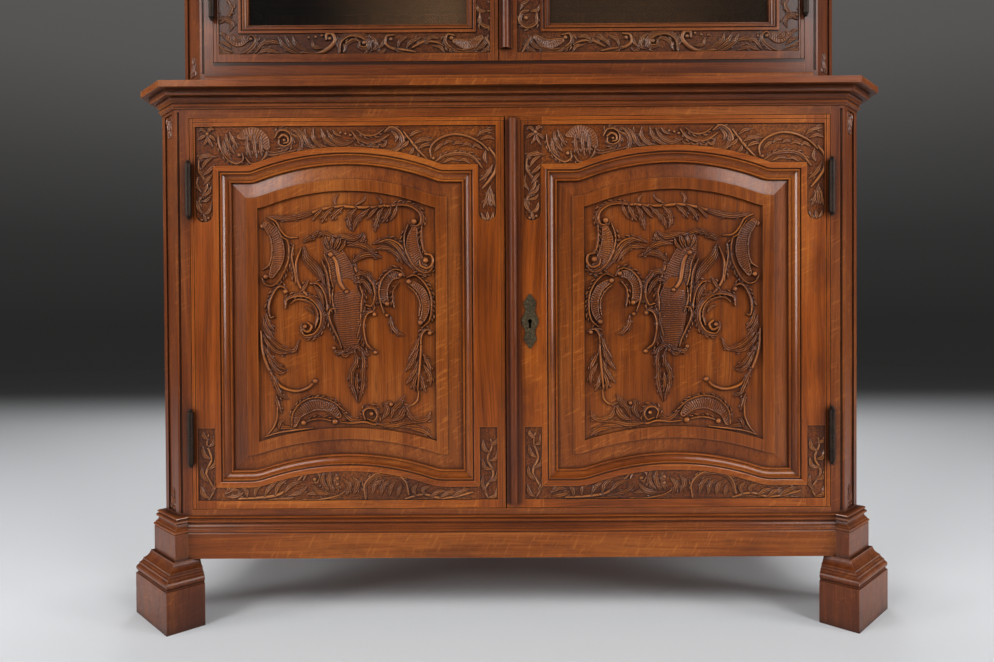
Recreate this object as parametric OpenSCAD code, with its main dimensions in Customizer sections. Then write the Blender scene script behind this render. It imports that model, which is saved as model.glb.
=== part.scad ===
// Two-part oak china cabinet. The lower cupboard has canted corners, two arched
// panel doors and block feet set across the corners. The glazed upper case stands
// on the waist board with its back in line and its front set in.
// Millimetres, +Z up, doors facing -Y. The origin lies on the floor under the
// middle of the footprint, which the front feet and the back boards bound.

/* [Lower case] */
// Width over the sides of the lower case
low_w = 1380; // [1300:10:1500]
// Depth of the lower case from its front plane to the back boards
low_d = 500; // [440:5:560]
// Size of the canted corner along the front
low_cant = 46; // [40:1:54]
// Width of a front post beside the doors
low_post_face = 27; // [24:1:40]
// Height of the waist board's top
waist_z = 1036; // [980:2:1100]
// Thickness of the waist board
waist_t = 12; // [10:1:20]
// Overhang of the waist board
waist_over = 35; // [30:1:45]
// Height of the sill rail under the lower doors
low_sill_h = 45; // [40:1:60]
// Height of the head rail over the lower doors
low_head_h = 49; // [44:1:60]

/* [Upper case] */
// Total height of the cabinet
total_h = 2350; // [2150:10:2450]
// Width over the sides of the upper case
up_w = 1330; // [1280:10:1380]
// Distance of the upper front behind the lower front
up_setback = 43; // [30:1:60]
// Size of the upper canted corner along the front
up_cant = 53; // [46:1:66]
// Width of an upper front post beside the doors
up_post_face = 26; // [16:1:32]
// Height of the sill rail under the glazed doors
up_sill_h = 60; // [50:1:80]
// Height of the head rail over the glazed doors
up_head_h = 97; // [90:1:130]
// Height of the strip along the foot of the upper case
foot_strip_h = 32; // [20:1:44]
// Thickness of that strip
foot_strip_t = 6; // [4:1:10]

/* [Feet and plinth] */
// Height of the moulded foot up to its neck
foot_h = 126; // [110:1:150]
// Height of the plinth rails and the foot's neck
plinth_h = 48; // [40:1:60]
// Width of a front foot across its outer face
foot_w = 162; // [146:1:180]
// Depth of a front foot behind its outer face
foot_t = 72; // [64:1:84]
// How far the foot spreads beyond its neck
foot_flare = 27; // [20:1:32]
// How far the neck stands out from the canted corner
neck_out = 15.5; // [12:0.5:20]
// Height of the straight block at the bottom of the foot
foot_block_h = 80; // [64:1:88]
// How far the plinth rails stand in front of the case
plinth_out = 9; // [8.5:0.5:12]
// Height of the base moulding
base_h = 33; // [28:1:38]
// Side of a square back foot
back_foot_w = 64; // [54:1:80]

/* [Lower doors] */
// Thickness of all door frames
door_t = 26; // [24:1:30]
// Hinge stile of a lower door
low_hinge_stile = 76; // [70:1:84]
// Meeting stile of the lower left door
low_left_stile = 82; // [76:1:90]
// Meeting stile of the lower right door, under its astragal too
low_right_stile = 100; // [94:1:110]
// Top rail of a lower door at its shoulders
low_top_rail = 123; // [112:1:132]
// Bottom rail of a lower door at its shoulders
low_bottom_rail = 73; // [68:1:82]
// Rise of the arch at the top of the lower panels
low_top_rise = 35; // [24:1:40]
// Rise of the arch at the bottom of the lower panels
low_bottom_rise = 31; // [20:1:36]
// Half length of the arch between its two shoulders
low_arch_half = 190; // [170:2:196]
// Distance of the lower meeting line left of the middle
low_meet = 8; // [4:1:12]

/* [Glazed doors] */
// Hinge stile of a glazed door
up_hinge_stile = 67; // [62:1:74]
// Meeting stile of the left glazed door
up_left_stile = 62; // [58:1:70]
// Meeting stile of the right glazed door, under its astragal too
up_right_stile = 100; // [94:1:108]
// Top rail of a glazed door at its shoulders
up_top_rail = 108; // [100:1:120]
// Bottom rail of a glazed door
up_bottom_rail = 75; // [68:1:84]
// Rise of the arch at the top of the glass
up_top_rise = 35; // [24:1:40]
// Half length of the glass's arch between its shoulders
up_arch_half = 186; // [170:2:190]
// Distance of the upper meeting line left of the middle
up_meet = 18; // [14:1:22]
// Thickness of the glass
glass_t = 3; // [2:0.5:4]

/* [Joinery] */
// Gap between a door and the opening it closes
door_gap = 1.2; // [1:0.1:2]
// Gap between the two doors of a pair
meet_gap = 2.5; // [2.4:0.1:4]
// Gap between the back of a closed door and its stops
stop_gap = 0.5; // [0.3:0.1:1]
// Thickness of the corner posts
post_t = 44; // [40:1:48]
// Length of a front post along the side, behind the cant
post_side = 30; // [26:1:40]
// Side of a square back post
back_post = 45; // [38:1:50]
// Thickness of the side rails
side_t = 24; // [20:1:28]
// Height of the lower side rails
side_rail_h = 76; // [64:1:90]
// Thickness of floors, shelves and roof
board_t = 19; // [16:1:24]
// Thickness of the back boards
back_t = 12; // [9:1:15]
// Number of upright boards in each back
back_boards_n = 6; // [4:1:8]
// Length of the tenons
tenon_l = 22; // [16:1:26]
// Thickness of the tenons
tenon_t = 8; // [6:1:10]
// Play round a tenon or a panel's tongue
joint_play = 0.2; // [0.1:0.1:0.4]
// Depth of the panel grooves
groove_d = 9; // [7:1:11]
// Number of display shelves
shelves_n = 3; // [2:1:4]
// Height of the top of the shelf in the lower case
low_shelf_z = 600; // [480:10:720]

/* [Astragals] */
// Width of the lower astragal
low_astragal_w = 28; // [22:1:32]
// Width of the upper astragal
up_astragal_w = 25; // [20:1:30]
// Radius of the astragals' round
astragal_r = 7.5; // [6:0.5:9]

/* [Hinges] */
// Height of a hinge without its finials
hinge_h = 100; // [80:2:120]
// Radius of the hinge barrels
barrel_r = 5.5; // [5:0.25:6]
// Radius of the hinge pins
pin_r = 3; // [2.5:0.25:3.5]
// Radial play of the pins
pin_play = 0.05; // [0.02:0.01:0.1]
// Distance of the hinge axis in front of the doors
axis_out = 7; // [6.5:0.25:8]
// Thickness of the hinge leaves
leaf_t = 2; // [1.5:0.25:2.5]
// Depth of the hinge leaves in the wood
leaf_d = 20; // [14:1:22]
// Height of the lower hinge above the bottom of its door, to its middle
low_hinge_inset = 138; // [110:1:170]
// Height of the middle of an upper hinge above the bottom of its door
up_hinge_inset = 136; // [120:1:200]

/* [Locks and bolts] */
// Width of a lock case
lock_w = 62; // [56:1:66]
// Height of a lock case
lock_h = 84; // [70:1:100]
// Thickness of a lock case
lock_t = 15; // [13:1:18]
// Throw of the lock bolts
lock_throw = 11; // [8:1:13]
// Distance of the keyhole from the meeting edge
key_inset = 46; // [44:1:50]
// Height of the lower keyhole above the bottom of its door
low_key_z = 360; // [300:5:420]
// Height of the upper keyhole above the bottom of its door
up_key_z = 480; // [400:5:560]
// Radius of the slide bolts
rod_r = 4; // [3.5:0.5:4.5]
// Length of the slide bolts
rod_l = 130; // [110:2:160]
// Throw of the slide bolts
rod_throw = 12; // [10:1:14]

/* [Hidden] */

OAK = [0.55, 0.29, 0.13];
OAK_DARK = [0.42, 0.21, 0.10];
IRON = [0.17, 0.15, 0.13];
BRONZE = [0.32, 0.28, 0.17];
CLEAR = [0.62, 0.66, 0.66, 0.35];

// Heights
case_z0 = foot_h + plinth_h;
low_z1 = waist_z - waist_t;
low_door_z0 = case_z0 + low_sill_h;
low_door_z1 = low_z1 - low_head_h;
cornice_rise = 80;
cornice_lap = 37;
up_z1 = total_h - cornice_rise;
up_door_z0 = waist_z + up_sill_h;
up_door_z1 = up_z1 - up_head_h;

// Plan sizes, with each case's own front plane at y = 0
rail_t = door_t + stop_gap;
low_x = low_w / 2;
up_x = up_w / 2;
up_d = low_d - up_setback;
low_open = low_x - low_cant - low_post_face;
up_open = up_x - up_cant - up_post_face;

// Neck of a front foot, set across the corner on the line through its middle
corner_mid = [low_x - low_cant / 2, low_cant / 2];
out_dir = [1, -1] / sqrt(2);
along_dir = [1, 1] / sqrt(2);
neck_half = foot_w / 2 - foot_flare;
neck_near = corner_mid + neck_out * out_dir - neck_half * along_dir;
neck_far = corner_mid + neck_out * out_dir + neck_half * along_dir;
foot_near = corner_mid + (neck_out + foot_flare) * out_dir - foot_w / 2 * along_dir;
neck_t = foot_t - foot_flare;
front_y = (-foot_near.y - low_d) / 2;

// Doors: width, height, hinge stile, meeting stile, top rail, bottom rail, rise of
// the top arch, rise of the bottom arch, half length of the arches
LOW_L = [low_open - door_gap - low_meet - meet_gap, low_door_z1 - low_door_z0 - 2 * door_gap,
  low_hinge_stile, low_left_stile, low_top_rail, low_bottom_rail,
  low_top_rise, low_bottom_rise, low_arch_half];
LOW_R = [low_open - door_gap + low_meet, LOW_L[1],
  low_hinge_stile, low_right_stile, low_top_rail, low_bottom_rail,
  low_top_rise, low_bottom_rise, low_arch_half];
UP_L = [up_open - door_gap - up_meet - meet_gap, up_door_z1 - up_door_z0 - 2 * door_gap,
  up_hinge_stile, up_left_stile, up_top_rail, up_bottom_rail,
  up_top_rise, 0, up_arch_half];
UP_R = [up_open - door_gap + up_meet, UP_L[1],
  up_hinge_stile, up_right_stile, up_top_rail, up_bottom_rail,
  up_top_rise, 0, up_arch_half];
top_ease = 50;
bottom_ease = 76;
ease_n = 3;
arc_n = 16;

// Moulding worked on the inner edge of a door frame
low_mould_w = 29;
low_mould_y = 10;
up_mould_w = 15;
up_mould_y = 7;
groove_y = 12;
groove_w = 6;
rebate_y = 13;

// Sunk grounds for the carving on the door frames
sink = 2.5;
fillet_w = 3;
border_w = 15.5;
bead_w = 8;
quirk_w = 1.4;
quirk_d = 1.2;
edge_bead = 6;
edge_w = 10;
meet_edge_w = 15.5;
strip_edge_w = 35;
low_carve_top = 200;
low_carve_bottom = 156;
up_carve_top = 300;
up_carve_bottom = 300;

// Sunk face of a canted corner, and the groove that leaves a bead along its edge
post_border = 15;
post_sunk = 3;
post_bead = 6.5;
post_groove_r = 2.6;

// Small clearances between fixed pieces
mitre_play = 0.2;
seat_play = 0.3;
board_gap = 0.5;
tenon_in = 6;

// Hinges and ironwork
hinge_split = 0.3;
hinge_x = -door_gap / 2;
finial_h = 7;
rod_top_gap = 1.5;
stop_lap = 12;
batten = 16;
bolt_plate_t = 2;
rod_y = door_t + bolt_plate_t + rod_r + 1;
rod_inset = 32;
bolt_h = 14;
bolt_t = 8;
bolt_y = door_t + 3.5;
bolt_play = 0.25;
bolt_l = 40;
bolt_rise = 20;
lock_back = 2;
lock_wall = 2;
keeper_w = 11;
rod_play = 0.1;
mortise = rod_r + 0.5;
key_r = 4;
astragal_t = 10;

// Basic shapes
module bar(x0, x1, y0, y1, z0, z1) {
  translate([x0, y0, z0]) cube([x1 - x0, y1 - y0, z1 - z0]);
}
module both() {
  children();
  mirror([1, 0, 0]) children();
}
module lower_place() {
  translate([0, front_y, 0]) children();
}
module upper_place() {
  translate([0, front_y + up_setback, 0]) children();
}
function arc(cx, cy, r, a0, a1, n) =
  [for (i = [0:n]) let (a = a0 + (a1 - a0) * i / n) [cx + r * cos(a), cy + r * sin(a)]];
function back_to_front(list) = [for (i = [len(list) - 1:-1:0]) list[i]];

// Triangles that fill a flat outline, as numbers of its points
function turn(a, b, c) = (b[0] - a[0]) * (c[1] - a[1]) - (b[1] - a[1]) * (c[0] - a[0]);
function sense(p) = let (last = len(p) - 2)
  sign([for (i = [1:last]) turn(p[0], p[i], p[i + 1])] * [for (i = [1:last]) 1]);
function holds(p, s, a, b, c, k) =
  s * turn(a, b, p[k]) > -1e-7 && s * turn(b, c, p[k]) > -1e-7 && s * turn(c, a, p[k]) > -1e-7;
function is_ear(p, s, list, i) =
  let (n = len(list), a = list[(i + n - 1) % n], b = list[i], c = list[(i + 1) % n])
  s * turn(p[a], p[b], p[c]) > 1e-6 &&
  len([for (k = list) if (k != a && k != b && k != c && holds(p, s, p[a], p[b], p[c], k)) k]) == 0;
function fill(p, list, s) =
  let (n = len(list))
  n == 3 ? [list] :
  let (i = [for (j = [0:n - 1]) if (is_ear(p, s, list, j)) j][0])
  concat([[list[(i + n - 1) % n], list[i], list[(i + 1) % n]]],
    fill(p, [for (j = [0:n - 1]) if (j != i) list[j]], s));
function fill_outline(p) = fill(p, [for (k = [0:len(p) - 1]) k], sense(p));
function pick(list, caps) = [for (c = caps) [for (k = c) list[k]]];

// Solid between matching rings of points. caps lists the triangles of its first
// end, and last_caps those of its last.
module loft(rings, caps, last_caps = []) {
  n = len(rings[0]);
  m = len(rings);
  ends = len(last_caps) > 0 ? last_caps : caps;
  polyhedron(
    [for (r = rings) each r],
    concat(
      caps,
      [for (c = ends) [for (k = back_to_front(c)) k + (m - 1) * n]],
      [for (j = [0:m - 2], k = [0:n - 1]) [j * n + k, (j + 1) * n + k, (j + 1) * n + (k + 1) % n]],
      [for (j = [0:m - 2], k = [0:n - 1]) [j * n + k, (j + 1) * n + (k + 1) % n, j * n + (k + 1) % n]]
    ),
    convexity = 8
  );
}

// Mouldings that follow a line in plan, mitred at its corners. A profile lists
// [projection, height], and a positive projection lies to the right of the line.
function unit(v) = v / norm(v);
function side_of(path, i) = let (u = unit(path[i + 1] - path[i])) [u.y, -u.x];
function mitre(path, j, p) =
  let (n = len(path) - 1, a = side_of(path, max(j - 1, 0)), b = side_of(path, min(j, n - 1)))
    path[j] + p * (a + b) / (1 + a * b);
module along(path, i, profile, extra) {
  u = unit(path[i + 1] - path[i]);
  translate([path[i].x, path[i].y, 0]) rotate([0, 0, atan2(u.y, u.x)]) translate([-extra, 0, 0])
    rotate([90, 0, 90]) linear_extrude(norm(path[i + 1] - path[i]) + 2 * extra)
      polygon([for (q = profile) [-q[0], q[1]]]);
}
module moulding_length(path, i, profile) {
  u = unit(path[i + 1] - path[i]);
  first = i == 0;
  last = i == len(path) - 2;
  s = mitre_play / 2;
  far = 120;
  difference() {
    along(path, i, profile, far);
    translate([path[i].x, path[i].y, -1])
      rotate([0, 0, atan2(u.y, u.x) + atan((mitre(path, i, 1) - path[i]) * u)])
        translate([(first ? 0 : s) - 2 * far, -2 * far, 0]) cube([2 * far, 4 * far, 3000]);
    translate([path[i + 1].x, path[i + 1].y, -1])
      rotate([0, 0, atan2(u.y, u.x) + atan((mitre(path, i + 1, 1) - path[i + 1]) * u)])
        translate([last ? 0 : -s, -2 * far, 0]) cube([2 * far, 4 * far, 3000]);
  }
}
function case_path(x, cant, d) =
  [[-x, d], [-x, cant], [-x + cant, 0], [x - cant, 0], [x, cant], [x, d]];
function case_ring(x, cant, d, p, z) =
  let (path = case_path(x, cant, d)) [for (j = [0:5]) let (v = mitre(path, j, p)) [v.x, v.y, z]];

// Arched opening of a door. The line runs from one corner along a flat shoulder,
// through an easing curve, over the arch and down again. side is 1 for the top of
// the opening and -1 for its bottom, and out moves the line into the frame.
function arch_r(half, rise, ease) = (half * half + rise * rise) / (2 * rise) - ease;
function arch_z(u, z, half, rise, ease, side, out) =
  let (
    r = arch_r(half, rise, ease),
    phi = asin(half / (r + ease)),
    re = ease - side * out,
    ra = r + side * out
  )
  u >= half ? z + side * out :
  u > ra * sin(phi) ? z + ease - sqrt(max(re * re - pow(half - u, 2), 0)) :
  z + rise - r + sqrt(ra * ra - u * u);
function arch_path(x0, x1, z, half, rise, ease, side, out) =
  let (path = full_arch(x0, x1, z, half, rise, ease, side, out))
  rise == 0 || path[0].x < path[1].x ? path : cut_short(path, z, half, rise, ease, side, out);
// A line inset past its shoulders starts on the curve, so its end points close up there
function cut_short(path, z, half, rise, ease, side, out) =
  let (
    n = len(path) - 1,
    xa = path[0].x,
    xb = path[n].x,
    xc = (xa + xb) / 2,
    first = [for (i = [1:n]) if (path[i].x > xa + 1.2 * i) i][0],
    step = (path[first].x - xa) / first
  )
  [for (i = [0:n]) let (x = i < first ? xa + i * step : i > n - first ? xb - (n - i) * step : path[i].x)
    [x, i < first || i > n - first ? arch_z(abs(x - xc), z, half, rise, ease, side, out) : path[i].y]];
function full_arch(x0, x1, z, half, rise, ease, side, out) =
  rise == 0 ? [[x0 - out, z + side * out], [x1 + out, z + side * out]] :
  let (
    xc = (x0 + x1) / 2,
    r = arch_r(half, rise, ease),
    phi = asin(half / (r + ease)),
    re = ease - side * out
  )
  concat(
    [[x0 - out, z + side * out]],
    arc(xc - half, z + ease, re, 270, 270 + phi, ease_n),
    [for (i = [1:arc_n - 1]) let (a = 90 + phi - 2 * phi * i / arc_n)
      [xc + (r + side * out) * cos(a), z + rise - r + (r + side * out) * sin(a)]],
    arc(xc + half, z + ease, re, 270 - phi, 270, ease_n),
    [[x1 + out, z + side * out]]
  );
function opening_ring(d, inset) =
  concat(
    arch_path(d[2], d[0] - d[3], d[5], d[8], d[7], bottom_ease, -1, -inset),
    back_to_front(arch_path(d[2], d[0] - d[3], d[1] - d[4], d[8], d[6], top_ease, 1, -inset))
  );
function at_y(ring, y) = [for (q = ring) [q[0], y, q[1]]];
module face_loft(d, steps) {
  loft([for (q = steps) at_y(opening_ring(d, q[0]), q[1])], fill_outline(opening_ring(d, steps[0][0])),
    fill_outline(opening_ring(d, steps[len(steps) - 1][0])));
}

// Moulding section as [distance from the opening, depth behind the door's face]:
// a small bead, a hollow, and a quirk before the flat
function sticking(bead, hollow, edge_y, w) =
  let (face = 1.2, lip = 0.4, reach = sqrt(pow(hollow, 2) - pow(hollow + lip + face - edge_y, 2)))
  concat(
    arc(bead, edge_y, bead, 180, 360, 3),
    arc(2 * bead, edge_y - lip - hollow, hollow, 90, asin((hollow + lip + face - edge_y) / hollow), 4),
    [
      [2 * bead + reach + 2, face], [2 * bead + reach + 2.5, 3.2], [2 * bead + reach + 4.4, 3.2],
      [2 * bead + reach + 5, 0.5], [2 * bead + reach + 6, 0], [w, 0]
    ]
  );
groove_back = [[0, door_t], [0, groove_y + groove_w], [groove_d, groove_y + groove_w],
  [groove_d, groove_y], [0, groove_y]];
rebate_back = [[groove_d, door_t], [groove_d, rebate_y], [0, rebate_y]];
LOW_STICK = sticking(2.5, 12, low_mould_y, low_mould_w);
UP_STICK = sticking(1.25, 5.5, up_mould_y, up_mould_w);

// Rail of a door frame over or under its opening, with its carved ground and tenons
module door_rail(d, side, stick, back) {
  x0 = d[2];
  x1 = d[0] - d[3];
  w = stick[len(stick) - 1][0];
  z = side > 0 ? d[1] - d[4] : d[5];
  z_out = side > 0 ? d[1] : 0;
  rise = side > 0 ? d[6] : d[7];
  ease = side > 0 ? top_ease : bottom_ease;
  front = concat(stick, [[w + fillet_w, 0], [w + fillet_w + 0.4, sink]]);
  lines = [for (q = front) arch_path(x0, x1, z, d[8], rise, ease, side, q[0])];
  rear = [for (q = back) arch_path(x0, x1, z, d[8], rise, ease, side, q[0])];
  edge = arch_path(x0, x1, z, d[8], rise, ease, side, w);
  n = len(edge);
  nf = len(stick);
  rings = [for (i = [0:n - 1]) let (xe = edge[i][0]) concat(
    [for (k = [0:len(front) - 1])
      [max(min(lines[k][i][0], x1 + w), x0 - w), front[k][1], lines[k][i][1]]],
    [[xe, sink, z_out - side * border_w], [xe, 0, z_out - side * (border_w - 0.4)],
      [xe, 0, z_out], [xe, door_t, z_out], [xe, door_t, edge[i][1]]],
    [for (k = [0:len(back) - 1]) [rear[k][i][0], back[k][1], rear[k][i][1]]]
  )];
  total = len(rings[0]);
  moulded = concat([for (k = [0:nf - 1]) k], [for (k = [nf + 6:total - 1]) k]);
  plain = [for (k = [nf - 1:nf + 6]) k];
  caps = concat(
    pick(moulded, fill_outline(concat(stick, [[w, door_t]], back))),
    pick(plain, fill_outline([for (k = plain) [side * rings[0][k].z, rings[0][k].y]]))
  );
  zt0 = side > 0 ? z + w + 6 : 12;
  zt1 = side > 0 ? d[1] - 12 : z - w - 6;
  difference() {
    union() {
      loft(side > 0 ? back_to_front(rings) : rings, caps);
      for (x = [x0 - w - tenon_l, x1 + w - 2])
        bar(x, x + tenon_l + 2, door_t / 2 - tenon_t / 2, door_t / 2 + tenon_t / 2, zt0, zt1);
    }
    if (side > 0) bar(-1, d[0] + 1, -1, quirk_d, d[1] - bead_w, d[1] - bead_w + quirk_w);
  }
}

// Stile of a door frame. Its outer edge is at x = 0 and its opening at x = w.
module door_stile(d, w, stick, back, carve_top, carve_bottom, edge, round_bottom) {
  m = stick[len(stick) - 1][0];
  z0 = d[5];
  z1 = d[1] - d[4];
  section = concat(stick, [[m + 1, 0], [m + 1, door_t]], back);
  hw = (w - m - fillet_w - edge) / 2;
  difference() {
    union() {
      bar(0, w - m, 0, door_t, 0, d[1]);
      loft([[for (q = section) [w - q[0], q[1], z1 + q[0]]],
        [for (q = section) [w - q[0], q[1], z0 - q[0]]]], fill_outline(section));
    }
    for (rail = [[z1 + m + 6, d[1] - 12], [12, z0 - m - 6]])
      bar(w - m - tenon_l - joint_play, w - m + 1,
        door_t / 2 - tenon_t / 2 - joint_play, door_t / 2 + tenon_t / 2 + joint_play,
        rail[0] - joint_play, rail[1] + joint_play);
    // Sunk grounds, open towards the rails and round at their far ends
    bar(edge, w - m + 1, -1, sink, z1 + m + fillet_w, d[1] - border_w);
    bar(edge, w - m - fillet_w, -1, sink, d[1] - carve_top + hw, z1 + m + fillet_w + 1);
    translate([edge + hw, -1, d[1] - carve_top + hw]) rotate([-90, 0, 0])
      cylinder(r = hw, h = sink + 1, $fn = 64);
    bar(edge, w - m + 1, -1, sink, border_w, z0 - m - fillet_w);
    bar(edge, w - m - fillet_w, -1, sink, z0 - m - fillet_w - 1, carve_bottom - (round_bottom ? hw : 0));
    if (round_bottom)
      translate([edge + hw, -1, carve_bottom - hw]) rotate([-90, 0, 0])
        cylinder(r = hw, h = sink + 1, $fn = 64);
    // Quirk of the bead along the top, and along the edge
    bar(-1, w, -1, quirk_d, d[1] - bead_w, d[1] - bead_w + quirk_w);
    if (edge < strip_edge_w) bar(edge_bead, edge_bead + quirk_w, -1, quirk_d, -1, d[1] + 1);
  }
}

// Raised and fielded panel in the opening of a door or a side
bevel_w = 29;
band_w = 22;
bevel_y = 7;
band_y = 4;
ground_y = 8.5;
tongue_y = groove_y + 0.4;
PANEL = [
  [1 - groove_d, groove_y + groove_w - joint_play], [1 - groove_d, tongue_y], [1, tongue_y],
  [bevel_w, bevel_y], [bevel_w + 0.4, band_y]
];
module raised_panel(d) {
  face_loft(d, concat(PANEL, [[bevel_w + band_w, band_y], [bevel_w + band_w + 1.5, ground_y]]));
}
module plain_panel(d) {
  face_loft(d, PANEL);
}

// Door frames. Each is drawn with its hinge edge at x = 0 and its front at y = 0.
module frame_stiles(d, stick, back, tops, bottoms, meet_edge, round_bottom, inset, key_z) {
  difference() {
    union() {
      door_stile(d, d[2], stick, back, tops, bottoms, edge_w, round_bottom);
      translate([d[0], 0, 0]) mirror([1, 0, 0])
        door_stile(d, d[3], stick, back, tops, bottoms, meet_edge, round_bottom);
    }
    for (z = [inset, d[1] - inset])
      bar(-1, leaf_t + joint_play, -1, leaf_d + joint_play,
        z + 1 - joint_play, z + hinge_h / 2 - 1 + joint_play);
    if (key_z > 0) keyhole(d, key_z, -1, door_t + 1);
  }
}
module frame_rails(d, stick, back) {
  door_rail(d, 1, stick, back);
  door_rail(d, -1, stick, back);
}
module keyhole(d, z, y0, y1) {
  translate([d[0] - key_inset, y0, z]) rotate([-90, 0, 0]) cylinder(r = key_r, h = y1 - y0, $fn = 32);
  bar(d[0] - key_inset - key_r / 2, d[0] - key_inset + key_r / 2, y0, y1, z - 14, z);
}

// Ironwork of a door, in the same place as the frames
module hinge_finial() {
  rotate_extrude($fn = 32) polygon([
    [0, 0], [barrel_r - 1, 0], [barrel_r - 2.2, 1.5], [barrel_r - 1.4, 3], [barrel_r - 2.6, 5.5],
    [0, finial_h]
  ]);
}
module pin_half() {
  translate([hinge_x, -axis_out, -hinge_h / 2]) {
    cylinder(r = barrel_r, h = hinge_h / 2 - hinge_split / 2, $fn = 48);
    cylinder(r = pin_r, h = hinge_h - 8, $fn = 48);
    mirror([0, 0, 1]) hinge_finial();
  }
  bar(-door_gap - leaf_t, -door_gap, 3.4 - axis_out, leaf_d, 1 - hinge_h / 2, -1);
}
module socket_half() {
  difference() {
    union() {
      translate([hinge_x, -axis_out, hinge_split / 2])
        cylinder(r = barrel_r, h = hinge_h / 2 - hinge_split / 2, $fn = 48);
      translate([hinge_x, -axis_out, hinge_h / 2]) hinge_finial();
      bar(0, leaf_t, 3.4 - axis_out, leaf_d, 1, hinge_h / 2 - 1);
    }
    translate([hinge_x, -axis_out, -1]) cylinder(r = pin_r + pin_play, h = hinge_h / 2 - 5, $fn = 48);
  }
}
module door_hinges(d, inset) {
  for (z = [inset, d[1] - inset]) translate([0, 0, z]) socket_half();
}
module lock_case(d, z) {
  x1 = d[0] - lock_back;
  x0 = x1 - lock_w;
  y1 = door_t + lock_t;
  zb = z + bolt_rise;
  h = bolt_h / 2 + bolt_play;
  difference() {
    union() {
      difference() {
        bar(x0, x1, door_t, y1, z - lock_h / 2, z + lock_h / 2);
        bar(x0 + lock_wall, x1 - lock_wall, door_t - 1, y1 - lock_wall,
          z - lock_h / 2 + lock_wall, z + lock_h / 2 - lock_wall);
      }
      bar(x1 - bolt_l, x1 - 1, door_t, y1 - 1, zb - h - 3, zb + h + 3);
    }
    bar(x1 - bolt_l - 3, x1 + 1, bolt_y - bolt_play, bolt_y + bolt_t + bolt_play, zb - h, zb + h);
  }
}
module lock_bolt(d, z) {
  bar(d[0] - 1 - bolt_l, d[0] - 1, bolt_y, bolt_y + bolt_t,
    z + bolt_rise - bolt_h / 2, z + bolt_rise + bolt_h / 2);
}
module keeper(d, z) {
  x1 = d[0] - 2.5;
  h = bolt_h / 2 + 0.6;
  difference() {
    bar(x1 - keeper_w, x1, door_t, bolt_y + bolt_t + 3, z + bolt_rise - h - 3, z + bolt_rise + h + 3);
    bar(x1 - keeper_w + 2.5, x1 + 1, bolt_y - 0.6, bolt_y + bolt_t + 0.6,
      z + bolt_rise - h, z + bolt_rise + h);
  }
}
function rod_top(d) = d[1] + door_gap - stop_lap - rod_top_gap;
module rod_plate(d) {
  x = d[0] - rod_inset;
  z0 = rod_top(d) - rod_l;
  difference() {
    union() {
      bar(x - 12, x + 12, door_t, door_t + bolt_plate_t, z0 + 8, z0 + rod_l - 8);
      for (z = [z0 + 12, z0 + rod_l - 26])
        bar(x - 8, x + 8, door_t, rod_y + rod_r + 3, z, z + 12);
    }
    translate([x, rod_y, z0]) cylinder(r = rod_r + rod_play, h = rod_l, $fn = 32);
  }
}
module rod_bolt(d) {
  translate([d[0] - rod_inset, rod_y, rod_top(d) - rod_l]) {
    cylinder(r = rod_r, h = rod_l, $fn = 32);
    translate([0, 0, rod_l / 2]) rotate([-90, 0, 0]) cylinder(r = 3, h = rod_r + 8, $fn = 24);
  }
}
// Shield round a keyhole, with lobed edges
module escutcheon(d, z) {
  half = [for (i = [0:24]) let (t = 7.5 * i) [(13.3 + 3.2 * cos(8 * t)) * sin(t), 52 * cos(t)]];
  difference() {
    translate([d[0] - key_inset, 0, z]) rotate([90, 0, 0]) linear_extrude(1.6)
      polygon(concat(half, [for (i = [23:-1:1]) [-half[i].x, half[i].y]]));
    keyhole(d, z, -3, 1);
  }
}
module astragal(d, w, z0, z1) {
  profile = concat(
    [[0, 0], [0, -3]],
    arc(w / 2, -(astragal_t - astragal_r), astragal_r, 180, 360, 10),
    [[w, -3], [w, 0]]
  );
  translate([d[0] - w, 0, z0]) linear_extrude(z1 - z0) polygon(profile);
}

// Glass and its glazing beads
module door_glass(d) {
  face_loft(d, [[1 - groove_d, rebate_y + glass_t], [1 - groove_d, rebate_y]]);
}
module glazing_beads(d) {
  y0 = rebate_y + glass_t;
  section = [[groove_d, y0], [2, y0], [2, y0 + 6], [groove_d, y0 + 8]];
  ends = [[0, 1, 2], [0, 2, 3]];
  x0 = d[2];
  x1 = d[0] - d[3];
  z0 = d[5];
  z1 = d[1] - d[4];
  module run(z, rise, side) {
    lines = [for (q = section) arch_path(x0, x1, z, d[8], rise, top_ease, side, q[0])];
    n = len(lines[0]);
    rings = [for (i = [0:n - 1]) [for (k = [0:3])
      let (v = lines[k][i], s = i == 0 ? mitre_play : i == n - 1 ? -mitre_play : 0)
        [v.x + s, section[k][1], v.y]]];
    loft(side > 0 ? rings : back_to_front(rings), ends);
  }
  run(z1, d[6], 1);
  run(z0, 0, -1);
  for (s = [0, 1]) {
    x = s == 0 ? x0 : x1;
    m = s == 0 ? -1 : 1;
    low = [for (q = section) [x + m * q[0], q[1], z0 - q[0]]];
    top = [for (q = section) [x + m * q[0], q[1], z1 + q[0]]];
    loft(s == 0 ? [low, top] : [top, low], ends);
  }
}

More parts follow.
